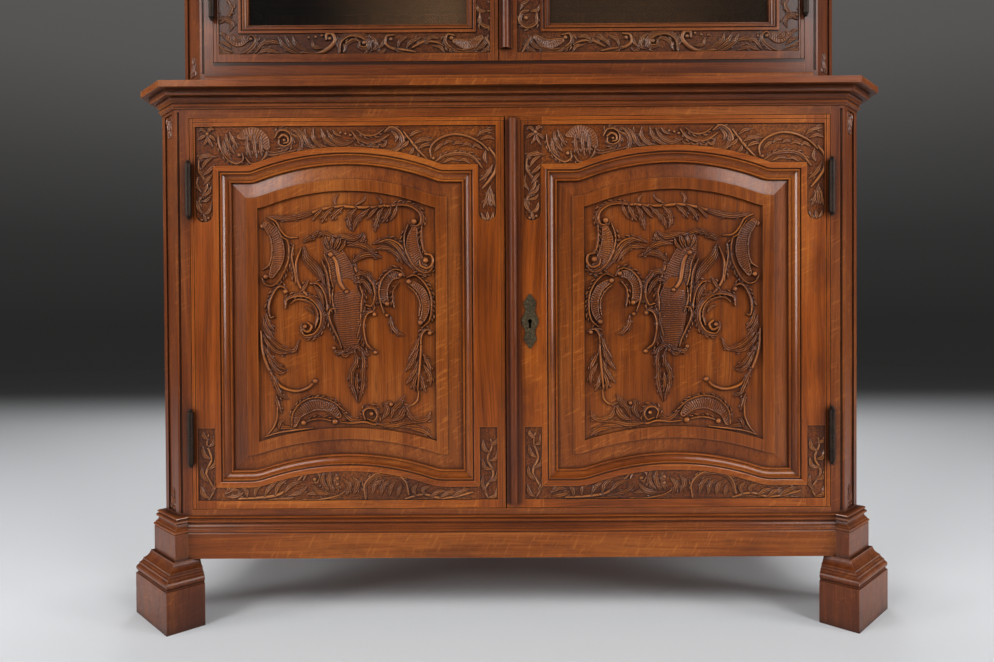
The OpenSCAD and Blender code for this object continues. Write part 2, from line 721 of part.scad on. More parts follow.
// Framing of a case. r is the height of a rail's bottom and top.
module front_rail(open, r) {
  bar(-open, open, 0, rail_t, r[0], r[1]);
  bar(-open - tenon_l, open + tenon_l, rail_t / 2 - tenon_t / 2, rail_t / 2 + tenon_t / 2,
    r[0] + tenon_in, r[1] - tenon_in);
}
module side_rail(half, cant, d, r, top) {
  y0 = cant + post_side;
  y1 = d - back_post;
  zg = top ? r[0] - 1 : r[1] - groove_d;
  difference() {
    union() {
      bar(half - side_t, half, y0, y1, r[0], r[1]);
      bar(half - side_t / 2 - tenon_t / 2, half - side_t / 2 + tenon_t / 2, y0 - tenon_l, y1 + tenon_l,
        r[0] + groove_d + tenon_in, r[1] - groove_d - tenon_in);
    }
    bar(half - groove_y - groove_w, half - groove_y, y0 - 1, y1 + 1, zg, zg + groove_d + 1);
  }
}
module back_rail(half, d, r) {
  x = half - back_post;
  y0 = d - back_t - side_t;
  bar(-x, x, y0, d - back_t, r[0], r[1]);
  bar(-x - tenon_l, x + tenon_l, y0 + side_t / 2 - tenon_t / 2, y0 + side_t / 2 + tenon_t / 2,
    r[0] + tenon_in, r[1] - tenon_in);
}
module case_rails(half, cant, d, rails) {
  both() side_rail(half, cant, d, rails[0], false);
  both() side_rail(half, cant, d, rails[1], true);
  for (r = rails) back_rail(half, d, r);
}
module side_panel(half, cant, d, rails) {
  y0 = cant + post_side;
  translate([half, y0, rails[0][1]]) rotate([0, 0, 90])
    plain_panel([d - back_post - y0, rails[1][0] - rails[0][1], 0, 0, 0, 0, 0, 0, 0]);
}
module front_post(open, half, cant, z, front, sides, hinges, sunk) {
  y0 = cant + post_side;
  xs = half - side_t / 2;
  play = joint_play;
  face = sqrt(2) * cant;
  difference() {
    translate([0, 0, z[0]]) linear_extrude(z[1] - z[0]) polygon([
      [open, 0], [half - cant, 0], [half, cant], [half, y0], [half - post_t, y0], [open, post_t]
    ]);
    for (r = front)
      bar(open - 1, open + tenon_l + play, rail_t / 2 - tenon_t / 2 - play, rail_t / 2 + tenon_t / 2 + play,
        r[0] + tenon_in - play, r[1] - tenon_in + play);
    for (r = sides)
      bar(xs - tenon_t / 2 - play, xs + tenon_t / 2 + play, y0 - tenon_l - play, y0 + 1,
        r[0] + groove_d + tenon_in - play, r[1] - groove_d - tenon_in + play);
    bar(half - groove_y - groove_w, half - groove_y, y0 - groove_d, y0 + 1,
      sides[0][1] - groove_d, sides[1][0] + groove_d);
    for (h = hinges)
      bar(open - 1, open + leaf_t + play, -1, leaf_d + play, h - hinge_h / 2 + 1 - play, h - 1 + play);
    translate([half - cant / 2, cant / 2, 0]) rotate([0, 0, 45])
      bar(post_border - face / 2, face / 2 - post_border, -1, post_sunk, sunk[0], sunk[1]);
    translate([half - cant - post_bead, 0.6, sunk[0]]) cylinder(h = sunk[1] - sunk[0], r = post_groove_r);
  }
}
module back_corner_post(half, d, z, rails) {
  x0 = half - back_post;
  y0 = d - back_post;
  xs = half - side_t / 2;
  yb = d - back_t - side_t / 2;
  play = joint_play;
  difference() {
    bar(x0, half, y0, d, z[0], z[1]);
    for (r = rails) {
      bar(xs - tenon_t / 2 - play, xs + tenon_t / 2 + play, y0 - 1, y0 + tenon_l + play,
        r[0] + groove_d + tenon_in - play, r[1] - groove_d - tenon_in + play);
      bar(x0 - 1, x0 + tenon_l + play, yb - tenon_t / 2 - play, yb + tenon_t / 2 + play,
        r[0] + tenon_in - play, r[1] - tenon_in + play);
    }
    bar(half - groove_y - groove_w, half - groove_y, y0 - 1, y0 + groove_d,
      rails[0][1] - groove_d, rails[1][0] + groove_d);
  }
}
module back_boards(half, d, z) {
  x = half - back_post;
  w = 2 * x / back_boards_n;
  for (i = [0:back_boards_n - 1])
    bar(i * w - x + board_gap / 2, (i + 1) * w - x - board_gap / 2, d - back_t, d, z[0], z[1]);
}
module inner_board(open, half, cant, d, y_front, top) {
  s = seat_play;
  y0 = cant + post_side + s;
  y1 = d - back_post - s;
  right = concat(
    [[open - s, y_front]],
    y_front < post_t ? [[open - s, post_t]] : [],
    [
      [half - post_t - s, y0], [half - side_t - s, y0], [half - side_t - s, y1],
      [half - back_post - s, y1], [half - back_post - s, d - back_t - side_t - s]
    ]
  );
  translate([0, 0, top - board_t]) linear_extrude(board_t)
    polygon(concat(right, [for (q = back_to_front(right)) [-q.x, q.y]]));
}
module ledgers(half, cant, d, z) {
  both() bar(half - side_t - batten, half - side_t, cant + post_side, d - back_post, z - batten, z);
}
module door_stop(open, z, bolt_x) {
  difference() {
    bar(seat_play - open, open - seat_play, rail_t, rail_t + batten, z - stop_lap, z + 25);
    bar(bolt_x - mortise, bolt_x + mortise, rod_y - mortise, rod_y + mortise, z - stop_lap - 1, z + 7);
  }
}

// Heights of the rails and boards of each case
LOW_FRONT = [[case_z0, low_door_z0], [low_door_z1, low_z1]];
UP_FRONT = [[waist_z, up_door_z0], [up_door_z1, up_z1]];
LOW_SIDES = [[case_z0, case_z0 + side_rail_h], [low_z1 - side_rail_h, low_z1]];
UP_SIDES = [[waist_z, waist_z + side_rail_h], [up_z1 - side_rail_h, up_z1]];
low_floor_z = low_door_z0 + 8;
up_floor_z = up_door_z0 + 8;
up_shelf_step = (up_z1 - board_t - up_floor_z) / (shelves_n + 1);
shelf_front = 60;
function door_base(z) = z + door_gap;
LOW_HINGES = [for (z = [low_hinge_inset, LOW_L[1] - low_hinge_inset]) door_base(low_door_z0) + z];
UP_HINGES = [for (z = [up_hinge_inset, UP_L[1] - up_hinge_inset]) door_base(up_door_z0) + z];
low_bolt_x = -low_meet - meet_gap - rod_inset;
up_bolt_x = -up_meet - meet_gap - rod_inset;

module lower_left_place() {
  lower_place() translate([door_gap - low_open, 0, door_base(low_door_z0)]) children();
}
module lower_right_place() {
  lower_place() mirror([1, 0, 0]) translate([door_gap - low_open, 0, door_base(low_door_z0)]) children();
}
module upper_left_place() {
  upper_place() translate([door_gap - up_open, 0, door_base(up_door_z0)]) children();
}
module upper_right_place() {
  upper_place() mirror([1, 0, 0]) translate([door_gap - up_open, 0, door_base(up_door_z0)]) children();
}

// Feet and plinth
FOOT = concat(
  [[0, 0], [0, foot_block_h], [2.5, foot_block_h + 1.5], [2.5, foot_block_h + 3]],
  arc(8.6, foot_block_h + 10.5, 8.4, 235, 125, 5),
  [
    [4.8, foot_block_h + 18.5], [4.8, foot_block_h + 21.5], [7.5, foot_block_h + 23],
    [9, foot_block_h + 26], [10.5, foot_block_h + 27], [10.5, foot_block_h + 30],
    [13.5, foot_block_h + 32], [17, foot_block_h + 35.5], [19.5, foot_block_h + 39.5],
    [21.3, foot_block_h + 44], [21.5, foot_h], [foot_flare, foot_h], [foot_flare, case_z0]
  ]
);
module front_foot() {
  y = -neck_out - foot_flare;
  w = foot_w / 2;
  translate([corner_mid.x, corner_mid.y, 0]) rotate([0, 0, 45]) intersection() {
    rotate([90, 0, 90]) linear_extrude(2 * foot_w, center = true)
      polygon(concat([for (q = FOOT) [y + q[0], q[1]]], [[y + foot_t, case_z0], [y + foot_t, 0]]));
    rotate([90, 0, 0]) linear_extrude(2 * foot_w, center = true)
      polygon(concat([for (q = FOOT) [w - q[0], q[1]]], [for (q = back_to_front(FOOT)) [q[0] - w, q[1]]]));
  }
}
module front_left_foot() color(OAK_DARK) lower_place() mirror([1, 0, 0]) front_foot();
module front_right_foot() color(OAK_DARK) lower_place() front_foot();
module back_feet() color(OAK_DARK) lower_place() both()
  bar(low_x - back_foot_w, low_x, low_d - back_foot_w, low_d, 0, foot_h);

near_sum = neck_near.x + neck_near.y;
far_sum = neck_far.x + neck_far.y;
near_back = neck_near - neck_t * out_dir;
far_back = neck_far - neck_t * out_dir;
plinth_in = 22;
module plinth_rails() color(OAK_DARK) lower_place() translate([0, 0, foot_h]) {
  linear_extrude(plinth_h) polygon([
    [-near_sum - plinth_out, -plinth_out], [near_sum + plinth_out, -plinth_out], near_back,
    [near_back.x, plinth_in], [-near_back.x, plinth_in], [-near_back.x, near_back.y]
  ]);
  both() linear_extrude(plinth_h) polygon([
    [low_x + plinth_out, far_sum - low_x - plinth_out], [low_x + plinth_out, low_d],
    [low_x - plinth_in, low_d], [low_x - plinth_in, far_back.y], far_back
  ]);
  bar(plinth_in - low_x + joint_play, low_x - plinth_in - joint_play, low_d - plinth_in, low_d, 0, plinth_h);
}

// Base moulding: straight lengths on the plinth rails, and a corner block over
// each foot that steps out with it
function base_profile(p0) = [for (q = concat(
    [[p0, 0], [p0, base_h], [1.5, base_h], [4.5, base_h - 1.5], [4.8, base_h - 3], [4, base_h - 4.5],
      [2.8, base_h - 5.5]],
    arc(3.4, base_h - 10, 3.3, 80, -80, 4),
    [[2.6, base_h - 14.2], [3, base_h - 17], [4.4, base_h - 20], [7.2, base_h - 23], [7.2, base_h - 24]],
    arc(7, 5, 3.4, 78, -70, 4),
    [[plinth_out, 0]]
  )) [q[0], case_z0 + q[1]]];
line_near = neck_near + plinth_out * (along_dir - out_dir);
line_far = neck_far - plinth_out * (along_dir + out_dir);
line_near_sum = line_near.x + line_near.y;
line_far_sum = line_far.x + line_far.y;
base_line = [
  [-low_x, low_d], [-low_x, line_far_sum - low_x], [-line_far.x, line_far.y], [-line_near.x, line_near.y],
  [-line_near_sum, 0], [line_near_sum, 0], line_near, line_far, [low_x, line_far_sum - low_x], [low_x, low_d]
];
module base_corner() {
  s = mitre_play / 2;
  near = mitre(base_line, 5, 40) + [s, 0];
  far = mitre(base_line, 8, 40) - [0, s];
  intersection() {
    for_side(5) for_side(6) for_side(7) translate([0, 0, case_z0]) linear_extrude(base_h) polygon([
      [low_x - low_cant, 0], [line_near_sum + s, 0], near, [near.x + 100, near.y - 100],
      [far.x + 100, far.y - 100], far, [low_x, line_far_sum - low_x - s], [low_x, low_cant]
    ]);
  }
  module for_side(i) intersection() {
    along(base_line, i, base_profile(-foot_w), 200);
    children();
  }
}
module base_moulding() color(OAK) lower_place() {
  for (i = [0, 4, 8]) moulding_length(base_line, i, base_profile(0));
  both() base_corner();
}

// Lower case
low_sunk = [case_z0 + base_h + 5, low_z1 - 38];
module lower_post() {
  front_post(low_open, low_x, low_cant, [case_z0, low_z1], LOW_FRONT, LOW_SIDES, LOW_HINGES, low_sunk);
}
module lower_left_post() color(OAK) lower_place() mirror([1, 0, 0]) lower_post();
module lower_right_post() color(OAK) lower_place() lower_post();
module back_posts() color(OAK) {
  lower_place() both() back_corner_post(low_x, low_d, [case_z0, low_z1], LOW_SIDES);
  upper_place() both() back_corner_post(up_x, up_d, [waist_z, up_z1], UP_SIDES);
}
module lower_sill_rail() color(OAK) lower_place() front_rail(low_open, LOW_FRONT[0]);
module lower_head_rail() color(OAK) lower_place() front_rail(low_open, LOW_FRONT[1]);
module lower_case_rails() color(OAK) lower_place() case_rails(low_x, low_cant, low_d, LOW_SIDES);
module lower_side_panels() color(OAK) lower_place() both() side_panel(low_x, low_cant, low_d, LOW_SIDES);
module lower_back_boards() color(OAK_DARK) lower_place() back_boards(low_x, low_d, [case_z0, low_z1]);
module lower_floor() color(OAK) lower_place()
  inner_board(low_open, low_x, low_cant, low_d, rail_t + seat_play, low_floor_z);
module lower_shelf() color(OAK) lower_place()
  inner_board(low_open, low_x, low_cant, low_d, shelf_front, low_shelf_z);
module lower_battens() color(OAK_DARK) lower_place() {
  for (z = [low_floor_z, low_shelf_z]) ledgers(low_x, low_cant, low_d, z - board_t);
  door_stop(low_open, low_door_z1, low_bolt_x);
}

// Waist
WAIST = [for (q = concat(
    [[0, -32], [0, 0], [21, 0], [21, -9.5], [19.5, -11], [9.5, -11], [9.5, -12.5]],
    arc(14, -20.5, 8.2, 125, 180, 4),
    [[5, -21.3], [3.6, -21.3], [3.6, -22.3]],
    arc(2.2, -25.9, 3.6, 66, -66, 4),
    [[2.2, -30], [2.2, -32]]
  )) [q[0], low_z1 + q[1]]];
module waist_moulding() color(OAK) lower_place()
  for (i = [0:4]) moulding_length(case_path(low_x, low_cant, low_d), i, WAIST);
module waist_board() color(OAK) lower_place() translate([0, 0, low_z1])
  linear_extrude(waist_t) polygon([for (q = case_ring(low_x, low_cant, low_d, waist_over, 0)) [q.x, q.y]]);

// Upper case
up_sunk = [waist_z + foot_strip_h + 6, up_z1 - cornice_lap - 6];
module upper_post() {
  front_post(up_open, up_x, up_cant, [waist_z, up_z1], UP_FRONT, UP_SIDES, UP_HINGES, up_sunk);
}
module upper_left_post() color(OAK) upper_place() mirror([1, 0, 0]) upper_post();
module upper_right_post() color(OAK) upper_place() upper_post();
module upper_sill_rail() color(OAK) upper_place() front_rail(up_open, UP_FRONT[0]);
strip_x = up_x - up_cant - post_bead - 5;
module upper_foot_strip() color(OAK) upper_place() translate([-strip_x, 0, waist_z])
  rotate([90, 0, 90]) linear_extrude(2 * strip_x) polygon([
    [0, 0], [0, foot_strip_h], [2 - foot_strip_t, foot_strip_h], [-foot_strip_t, foot_strip_h - 3],
    [-foot_strip_t, 0]
  ]);
module upper_head_rail() color(OAK) upper_place() front_rail(up_open, UP_FRONT[1]);
module upper_case_rails() color(OAK) upper_place() case_rails(up_x, up_cant, up_d, UP_SIDES);
module upper_side_panels() color(OAK) upper_place() both() side_panel(up_x, up_cant, up_d, UP_SIDES);
module upper_back_boards() color(OAK_DARK) upper_place() back_boards(up_x, up_d, [waist_z, up_z1]);
module upper_floor() color(OAK) upper_place()
  inner_board(up_open, up_x, up_cant, up_d, rail_t + seat_play, up_floor_z);
module upper_top_boards() color(OAK_DARK) upper_place()
  inner_board(up_open, up_x, up_cant, up_d, rail_t + seat_play, up_z1);
module display_shelves() color(OAK) upper_place()
  for (i = [1:shelves_n])
    inner_board(up_open, up_x, up_cant, up_d, shelf_front, up_floor_z + i * up_shelf_step);
module upper_battens() color(OAK_DARK) upper_place() {
  for (i = [0:shelves_n]) ledgers(up_x, up_cant, up_d, up_floor_z + i * up_shelf_step - board_t);
  ledgers(up_x, up_cant, up_d, up_z1 - board_t);
  door_stop(up_open, up_door_z1, up_bolt_x);
}
CORNICE = [for (q = concat(
    [[0, -cornice_lap], [0, 0], [-22, 0], [-22, 22], [28, 80], [66, 80], [66, 67], [64, 65], [64, 60]],
    arc(62, 44, 16, 90, 180, 4),
    [[47.5, 41.5], [47.5, 38.5], [46, 36], [44, 36], [44, 3], [29, -2], [26, -5], [26, -11]],
    arc(23, -29, 18, 90, 180, 4),
    [[7, -31.5], [7, -34.5], [5, -cornice_lap]]
  )) [q[0], up_z1 + q[1]]];
module cornice() color(OAK) upper_place()
  for (i = [0:4]) moulding_length(case_path(up_x, up_cant, up_d), i, CORNICE);

// Lower halves of the hinges, with the pins riveted into them
module hinge_pin_halves() color(IRON) {
  for (z = [low_hinge_inset, LOW_L[1] - low_hinge_inset]) {
    lower_left_place() translate([0, 0, z]) pin_half();
    lower_right_place() translate([0, 0, z]) pin_half();
  }
  for (z = [up_hinge_inset, UP_L[1] - up_hinge_inset]) {
    upper_left_place() translate([0, 0, z]) pin_half();
    upper_right_place() translate([0, 0, z]) pin_half();
  }
}

// Lower doors
module lower_left_stiles() color(OAK) lower_left_place()
  frame_stiles(LOW_L, LOW_STICK, groove_back, low_carve_top, low_carve_bottom, meet_edge_w, false,
    low_hinge_inset, 0);
module lower_left_rails() color(OAK) lower_left_place() frame_rails(LOW_L, LOW_STICK, groove_back);
module lower_left_panel() color(OAK) lower_left_place() raised_panel(LOW_L);
module lower_left_ironwork() color(IRON) lower_left_place() {
  door_hinges(LOW_L, low_hinge_inset);
  keeper(LOW_L, low_key_z);
  rod_plate(LOW_L);
}
module lower_left_bolt() color(IRON) lower_left_place() rod_bolt(LOW_L);
module lower_right_stiles() color(OAK) lower_right_place()
  frame_stiles(LOW_R, LOW_STICK, groove_back, low_carve_top, low_carve_bottom, strip_edge_w, false,
    low_hinge_inset, low_key_z);
module lower_right_rails() color(OAK) lower_right_place() frame_rails(LOW_R, LOW_STICK, groove_back);
module lower_right_panel() color(OAK) lower_right_place() raised_panel(LOW_R);
module lower_right_hinges() color(IRON) lower_right_place() door_hinges(LOW_R, low_hinge_inset);
module lower_astragal() color(OAK) lower_right_place()
  astragal(LOW_R, low_astragal_w, 8, LOW_R[1] - 6);
module lower_lock_case() color(IRON) lower_right_place() lock_case(LOW_R, low_key_z);
module lower_escutcheon() color(BRONZE) lower_right_place() escutcheon(LOW_R, low_key_z);
module lower_lock_bolt() color(IRON) lower_right_place() lock_bolt(LOW_R, low_key_z);

// Glazed doors
module upper_left_stiles() color(OAK) upper_left_place()
  frame_stiles(UP_L, UP_STICK, rebate_back, up_carve_top, up_carve_bottom, meet_edge_w, true,
    up_hinge_inset, 0);
module upper_left_rails() color(OAK) upper_left_place() frame_rails(UP_L, UP_STICK, rebate_back);
module upper_left_glass() color(CLEAR) upper_left_place() door_glass(UP_L);
module upper_left_glazing_beads() color(OAK) upper_left_place() glazing_beads(UP_L);
module upper_left_ironwork() color(IRON) upper_left_place() {
  door_hinges(UP_L, up_hinge_inset);
  keeper(UP_L, up_key_z);
  rod_plate(UP_L);
}
module upper_left_bolt() color(IRON) upper_left_place() rod_bolt(UP_L);
module upper_right_stiles() color(OAK) upper_right_place()
  frame_stiles(UP_R, UP_STICK, rebate_back, up_carve_top, up_carve_bottom, strip_edge_w, true,
    up_hinge_inset, up_key_z);
module upper_right_rails() color(OAK) upper_right_place() frame_rails(UP_R, UP_STICK, rebate_back);
module upper_right_glass() color(CLEAR) upper_right_place() door_glass(UP_R);
module upper_right_glazing_beads() color(OAK) upper_right_place() glazing_beads(UP_R);
module upper_right_hinges() color(IRON) upper_right_place() door_hinges(UP_R, up_hinge_inset);
module upper_astragal() color(OAK) upper_right_place()
  astragal(UP_R, up_astragal_w, 23, UP_R[1] - 23);
module upper_lock_case() color(IRON) upper_right_place() lock_case(UP_R, up_key_z);
module upper_escutcheon() color(BRONZE) upper_right_place() escutcheon(UP_R, up_key_z);
module upper_lock_bolt() color(IRON) upper_right_place() lock_bolt(UP_R, up_key_z);

front_left_foot();
front_right_foot();
back_feet();
plinth_rails();
base_moulding();
lower_left_post();
lower_right_post();
back_posts();
lower_sill_rail();
lower_head_rail();
lower_case_rails();
lower_side_panels();
lower_back_boards();
lower_floor();
lower_shelf();
lower_battens();
waist_moulding();
waist_board();
upper_left_post();
upper_right_post();
upper_sill_rail();
upper_foot_strip();
upper_head_rail();
upper_case_rails();
upper_side_panels();
upper_back_boards();
upper_floor();
upper_top_boards();
display_shelves();
upper_battens();
cornice();
hinge_pin_halves();
lower_left_stiles();
lower_left_rails();
lower_left_panel();
lower_left_ironwork();
lower_left_bolt();
lower_right_stiles();
lower_right_rails();
lower_right_panel();
lower_right_hinges();
lower_astragal();
lower_lock_case();
lower_escutcheon();
lower_lock_bolt();
upper_left_stiles();
upper_left_rails();
upper_left_glass();
upper_left_glazing_beads();
upper_left_ironwork();
upper_left_bolt();
upper_right_stiles();
upper_right_rails();
upper_right_glass();
upper_right_glazing_beads();
upper_right_hinges();
upper_astragal();
upper_lock_case();
upper_escutcheon();
upper_lock_bolt();
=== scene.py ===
import math

import bpy
import numpy as np
from mathutils import Matrix, Vector


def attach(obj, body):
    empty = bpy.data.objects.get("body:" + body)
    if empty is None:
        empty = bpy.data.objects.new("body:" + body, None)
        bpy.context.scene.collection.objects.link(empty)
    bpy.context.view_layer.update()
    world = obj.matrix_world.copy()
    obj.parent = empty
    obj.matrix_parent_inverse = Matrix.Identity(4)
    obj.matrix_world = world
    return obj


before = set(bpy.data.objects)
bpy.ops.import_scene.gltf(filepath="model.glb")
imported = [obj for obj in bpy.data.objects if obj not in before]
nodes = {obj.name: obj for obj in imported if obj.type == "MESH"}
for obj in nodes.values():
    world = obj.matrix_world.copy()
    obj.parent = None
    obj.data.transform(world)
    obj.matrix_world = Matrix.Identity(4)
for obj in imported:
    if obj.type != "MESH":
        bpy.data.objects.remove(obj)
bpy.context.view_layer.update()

# The eye stands a little left of the middle, at the height of the lower doors
EYE = Vector((-0.0215, -1.5833, 0.5766))
YAW, PITCH, ROLL = -0.0031, 0.0110, -0.0056
FOCAL_PX, WIDTH_PX = 707.9, 994
SENSOR_MM = 36
FAR_END = 60


def add_camera():
    """The camera of the photograph, turned by yaw, pitch and roll."""
    side = Vector((math.cos(YAW), -math.sin(YAW), 0))
    ahead = Vector((math.sin(YAW), math.cos(YAW), 0))
    up = Vector((0, 0, 1))
    forward = ahead * math.cos(PITCH) - up * math.sin(PITCH)
    top = ahead * math.sin(PITCH) + up * math.cos(PITCH)
    right = side * math.cos(ROLL) + top * math.sin(ROLL)
    above = top * math.cos(ROLL) - side * math.sin(ROLL)
    data = bpy.data.cameras.new("camera")
    data.sensor_width = SENSOR_MM
    data.lens = FOCAL_PX / WIDTH_PX * SENSOR_MM
    data.clip_end = FAR_END
    camera = bpy.data.objects.new("camera", data)
    bpy.context.scene.collection.objects.link(camera)
    rows = [(right[i], above[i], -forward[i], EYE[i]) for i in range(3)]
    camera.matrix_world = Matrix(rows + [(0, 0, 0, 1)])
    bpy.context.scene.camera = camera


# Rays that look for hollows and for edges
AO_SAMPLES = 4


class Tree:
    """Short calls for the nodes of one material, or of the world."""

    def __init__(self, owner):
        owner.use_nodes = True
        self.owner = owner
        self.nodes = owner.node_tree.nodes
        self.links = owner.node_tree.links

    def set(self, socket, value):
        if isinstance(value, bpy.types.NodeSocket):
            self.links.new(value, socket)
        else:
            socket.default_value = value

    def add(self, kind, values=None, **options):
        node = self.nodes.new("ShaderNode" + kind)
        for key, value in options.items():
            setattr(node, key, value)
        for key, value in (values or {}).items():
            self.set(node.inputs[key], value)
        return node

    def paint(self, values):
        """Sets inputs of the material's own shader."""
        for key, value in values.items():
            self.set(self.nodes["Principled BSDF"].inputs[key], value)

    def math(self, operation, a, b=0):
        return self.add("Math", {0: a, 1: b}, operation=operation).outputs[0]

    def times(self, value, *others):
        for other in others:
            value = self.math("MULTIPLY", value, other)
        return value

    def plus(self, value, *others):
        for other in others:
            value = self.math("ADD", value, other)
        return value

    def minus(self, a, b):
        return self.math("SUBTRACT", a, b)

    def moved(self, vector, by):
        return self.add("VectorMath", {0: vector, 1: by}, operation="ADD").outputs[0]

    def split(self, vector):
        return self.add("SeparateXYZ", {0: vector}).outputs

    def mix(self, share, under, over):
        """A colour covered by another as far as share says. Each is a socket, or its red, green and blue."""
        node = self.add("Mix", {0: share}, data_type="RGBA")
        for key, colour in ((6, under), (7, over)):
            self.set(node.inputs[key], (*colour, 1) if isinstance(colour, tuple) else colour)
        return node.outputs[2]

    def step(self, value, low, high, out_low=0, out_high=1):
        values = {"Value": value, "From Min": low, "From Max": high, "To Min": out_low, "To Max": out_high}
        return self.add("MapRange", values, interpolation_type="SMOOTHSTEP").outputs[0]

    def noise(self, vector, scale, detail=2, rough=0.5, bend=0):
        values = {"Vector": vector, "Scale": scale, "Detail": detail, "Roughness": rough, "Distortion": bend}
        return self.add("TexNoise", values).outputs["Fac"]

    def drawn(self, vector, scale, detail=2, rough=0.5, bend=0, start=(0, 0, 0)):
        """Noise with a scale of its own along each axis."""
        values = {"Vector": vector, "Scale": scale, "Location": start}
        return self.noise(self.add("Mapping", values).outputs[0], 1, detail, rough, bend)

    def turned(self, vector, angle):
        """The same vector turned about the depth of the cabinet."""
        values = {"Vector": vector, "Angle": angle}
        return self.add("VectorRotate", values, rotation_type="Y_AXIS").outputs[0]

    def openness(self, distance):
        """1 on open faces, and less in hollows narrower than the distance."""
        return self.add("AmbientOcclusion", {"Distance": distance}, samples=AO_SAMPLES).outputs["AO"]

    def bump(self, height, strength, distance):
        values = {"Height": height, "Strength": strength, "Distance": distance}
        return self.add("Bump", values).outputs[0]


def shaded(colour, by):
    """A colour with its red, green and blue each multiplied."""
    return tuple(share * factor for share, factor in zip(colour, by))


# How much more a face looks sideways than forwards where a moulding runs back along the side
SIDEWAYS = 0.35


def grain_vector(t, run):
    """Object coordinates with the grain along the third. It lies along z or x, or runs with a moulding."""
    x, y, z = t.split(t.place.outputs["Object"])
    parts = {"z": (x, y, z), "x": (z, y, x)}
    if run == "run":
        nx, ny, nz = t.split(t.place.outputs["Normal"])
        limit = t.plus(t.math("ABSOLUTE", ny), SIDEWAYS)
        side = t.math("GREATER_THAN", t.math("ABSOLUTE", nx), limit)
        front = t.minus(1, side)
        along = t.plus(t.times(side, y), t.times(front, x))
        across = t.plus(t.times(side, x), t.times(front, y))
        parts["run"] = (z, across, along)
    return t.add("CombineXYZ", dict(enumerate(parts[run]))).outputs[0]


# Oak in its finishes: the dark, middle and light tone of the wood
STILE = ((0.055, 0.01, 0.001), (0.208, 0.044, 0.0032), (0.335, 0.098, 0.012))
PANEL = ((0.048, 0.0092, 0.001), (0.16, 0.035, 0.0028), (0.285, 0.084, 0.012))
DARK = ((0.044, 0.009, 0.0012), (0.15, 0.0315, 0.0034), (0.262, 0.076, 0.012))
POST = ((0.036, 0.0068, 0.001), (0.108, 0.0215, 0.0025), (0.195, 0.053, 0.009))
FOOT = ((0.034, 0.007, 0.0013), (0.1, 0.02, 0.0028), (0.19, 0.054, 0.01))
UPPER = ((0.036, 0.007, 0.0012), (0.112, 0.024, 0.0034), (0.21, 0.058, 0.011))
CARVED = ((0.05, 0.0118, 0.0022), (0.16, 0.042, 0.008), (0.28, 0.096, 0.022))
CARVED_UP = ((0.032, 0.0075, 0.0016), (0.102, 0.027, 0.006), (0.19, 0.068, 0.018))
RAW = ((0.085, 0.04, 0.018), (0.17, 0.088, 0.042), (0.25, 0.145, 0.075))
TONES_AT = (0.31, 0.5, 0.7)

# Painted shade with dirt in hollows, painted shade between the strokes of the carving, dirt on its punched
# ground, a painted shadow under the upper doors, and painted shade with dirt on metal
HOLLOW_SHADE_AND_DIRT = (0.0105, 0.0036, 0.0016)
CARVING_CREASE_SHADE = (0.012, 0.0042, 0.0018)
PUNCHED = (0.016, 0.0055, 0.0024)
BAND_SHADOW = (0.01, 0.0036, 0.0018)
METAL_SHADE_AND_DIRT = (0.008, 0.006, 0.004)

# Front planes of the lower and upper doors, in metres
FRONT_LOW, FRONT_UP = -0.217836, -0.174836
# Narrow and broad hollows that get painted shade, the radius of an edge rounded by wear, a pore's depth, and
# where the boards are counted from
HOLLOW, BROAD_HOLLOW = 0.016, 0.07
RUBBED_EDGE = 0.0018
PORE_DEPTH = 0.0005
BOARDS_FROM = 7.03
# Least roughness of the waxed face, and the other inputs of its shader
SHINE = 0.38
WAX = {"IOR": 1.42, "Specular IOR Level": 0.14, "Coat Weight": 0.4, "Coat Roughness": 0.17}


def grow(t, run, seed):
    """Gives a tree the patterns of grain, dirt and painted shade that the steps below colour it by."""
    t.place = t.add("TexCoord")
    t.grain = t.moved(grain_vector(t, run), (seed, seed * 0.37, seed * 0.73))
    bend = t.drawn(t.grain, (3.5, 3.5, 1.1))
    wander = t.moved(t.grain, t.add("CombineXYZ", {0: t.times(bend, 0.07)}).outputs[0])
    t.cloud = t.drawn(wander, (6, 6, 1.6), 3, 0.6)
    t.rings = t.drawn(wander, (85, 85, 1.8), 3, 0.7)
    t.fibre = t.drawn(wander, (480, 480, 9), 3, 0.6)
    t.pore = t.step(t.drawn(wander, (950, 950, 26), 1), 0.58, 0.7)
    t.flecks = t.drawn(t.turned(wander, 0.45), (26, 60, 190), 2, 0.7, 0.6)
    t.stain = t.drawn(t.grain, (9, 9, 4), 4, 0.65, start=(3.1, 7.7, 1.9))
    # How open a point is sets the painted shade, with dirt, in narrow hollows
    t.cavity = t.openness(HOLLOW)
    t.grime = t.step(t.cavity, 0.35, 0.985, 1, 0)


def spot(t, axis, output="Object"):
    """One coordinate of a point, or of its normal."""
    return t.split(t.place.outputs[output])[axis]


def board_shade(t, width):
    """A little lighter or darker by the board that a point lies on."""
    board = t.math("FLOOR", t.math("DIVIDE", t.plus(spot(t, 0), BOARDS_FROM), width))
    shade = t.add("TexWhiteNoise", {"W": board}, noise_dimensions="1D").outputs["Value"]
    return t.times(t.minus(shade, 0.5), 0.12)


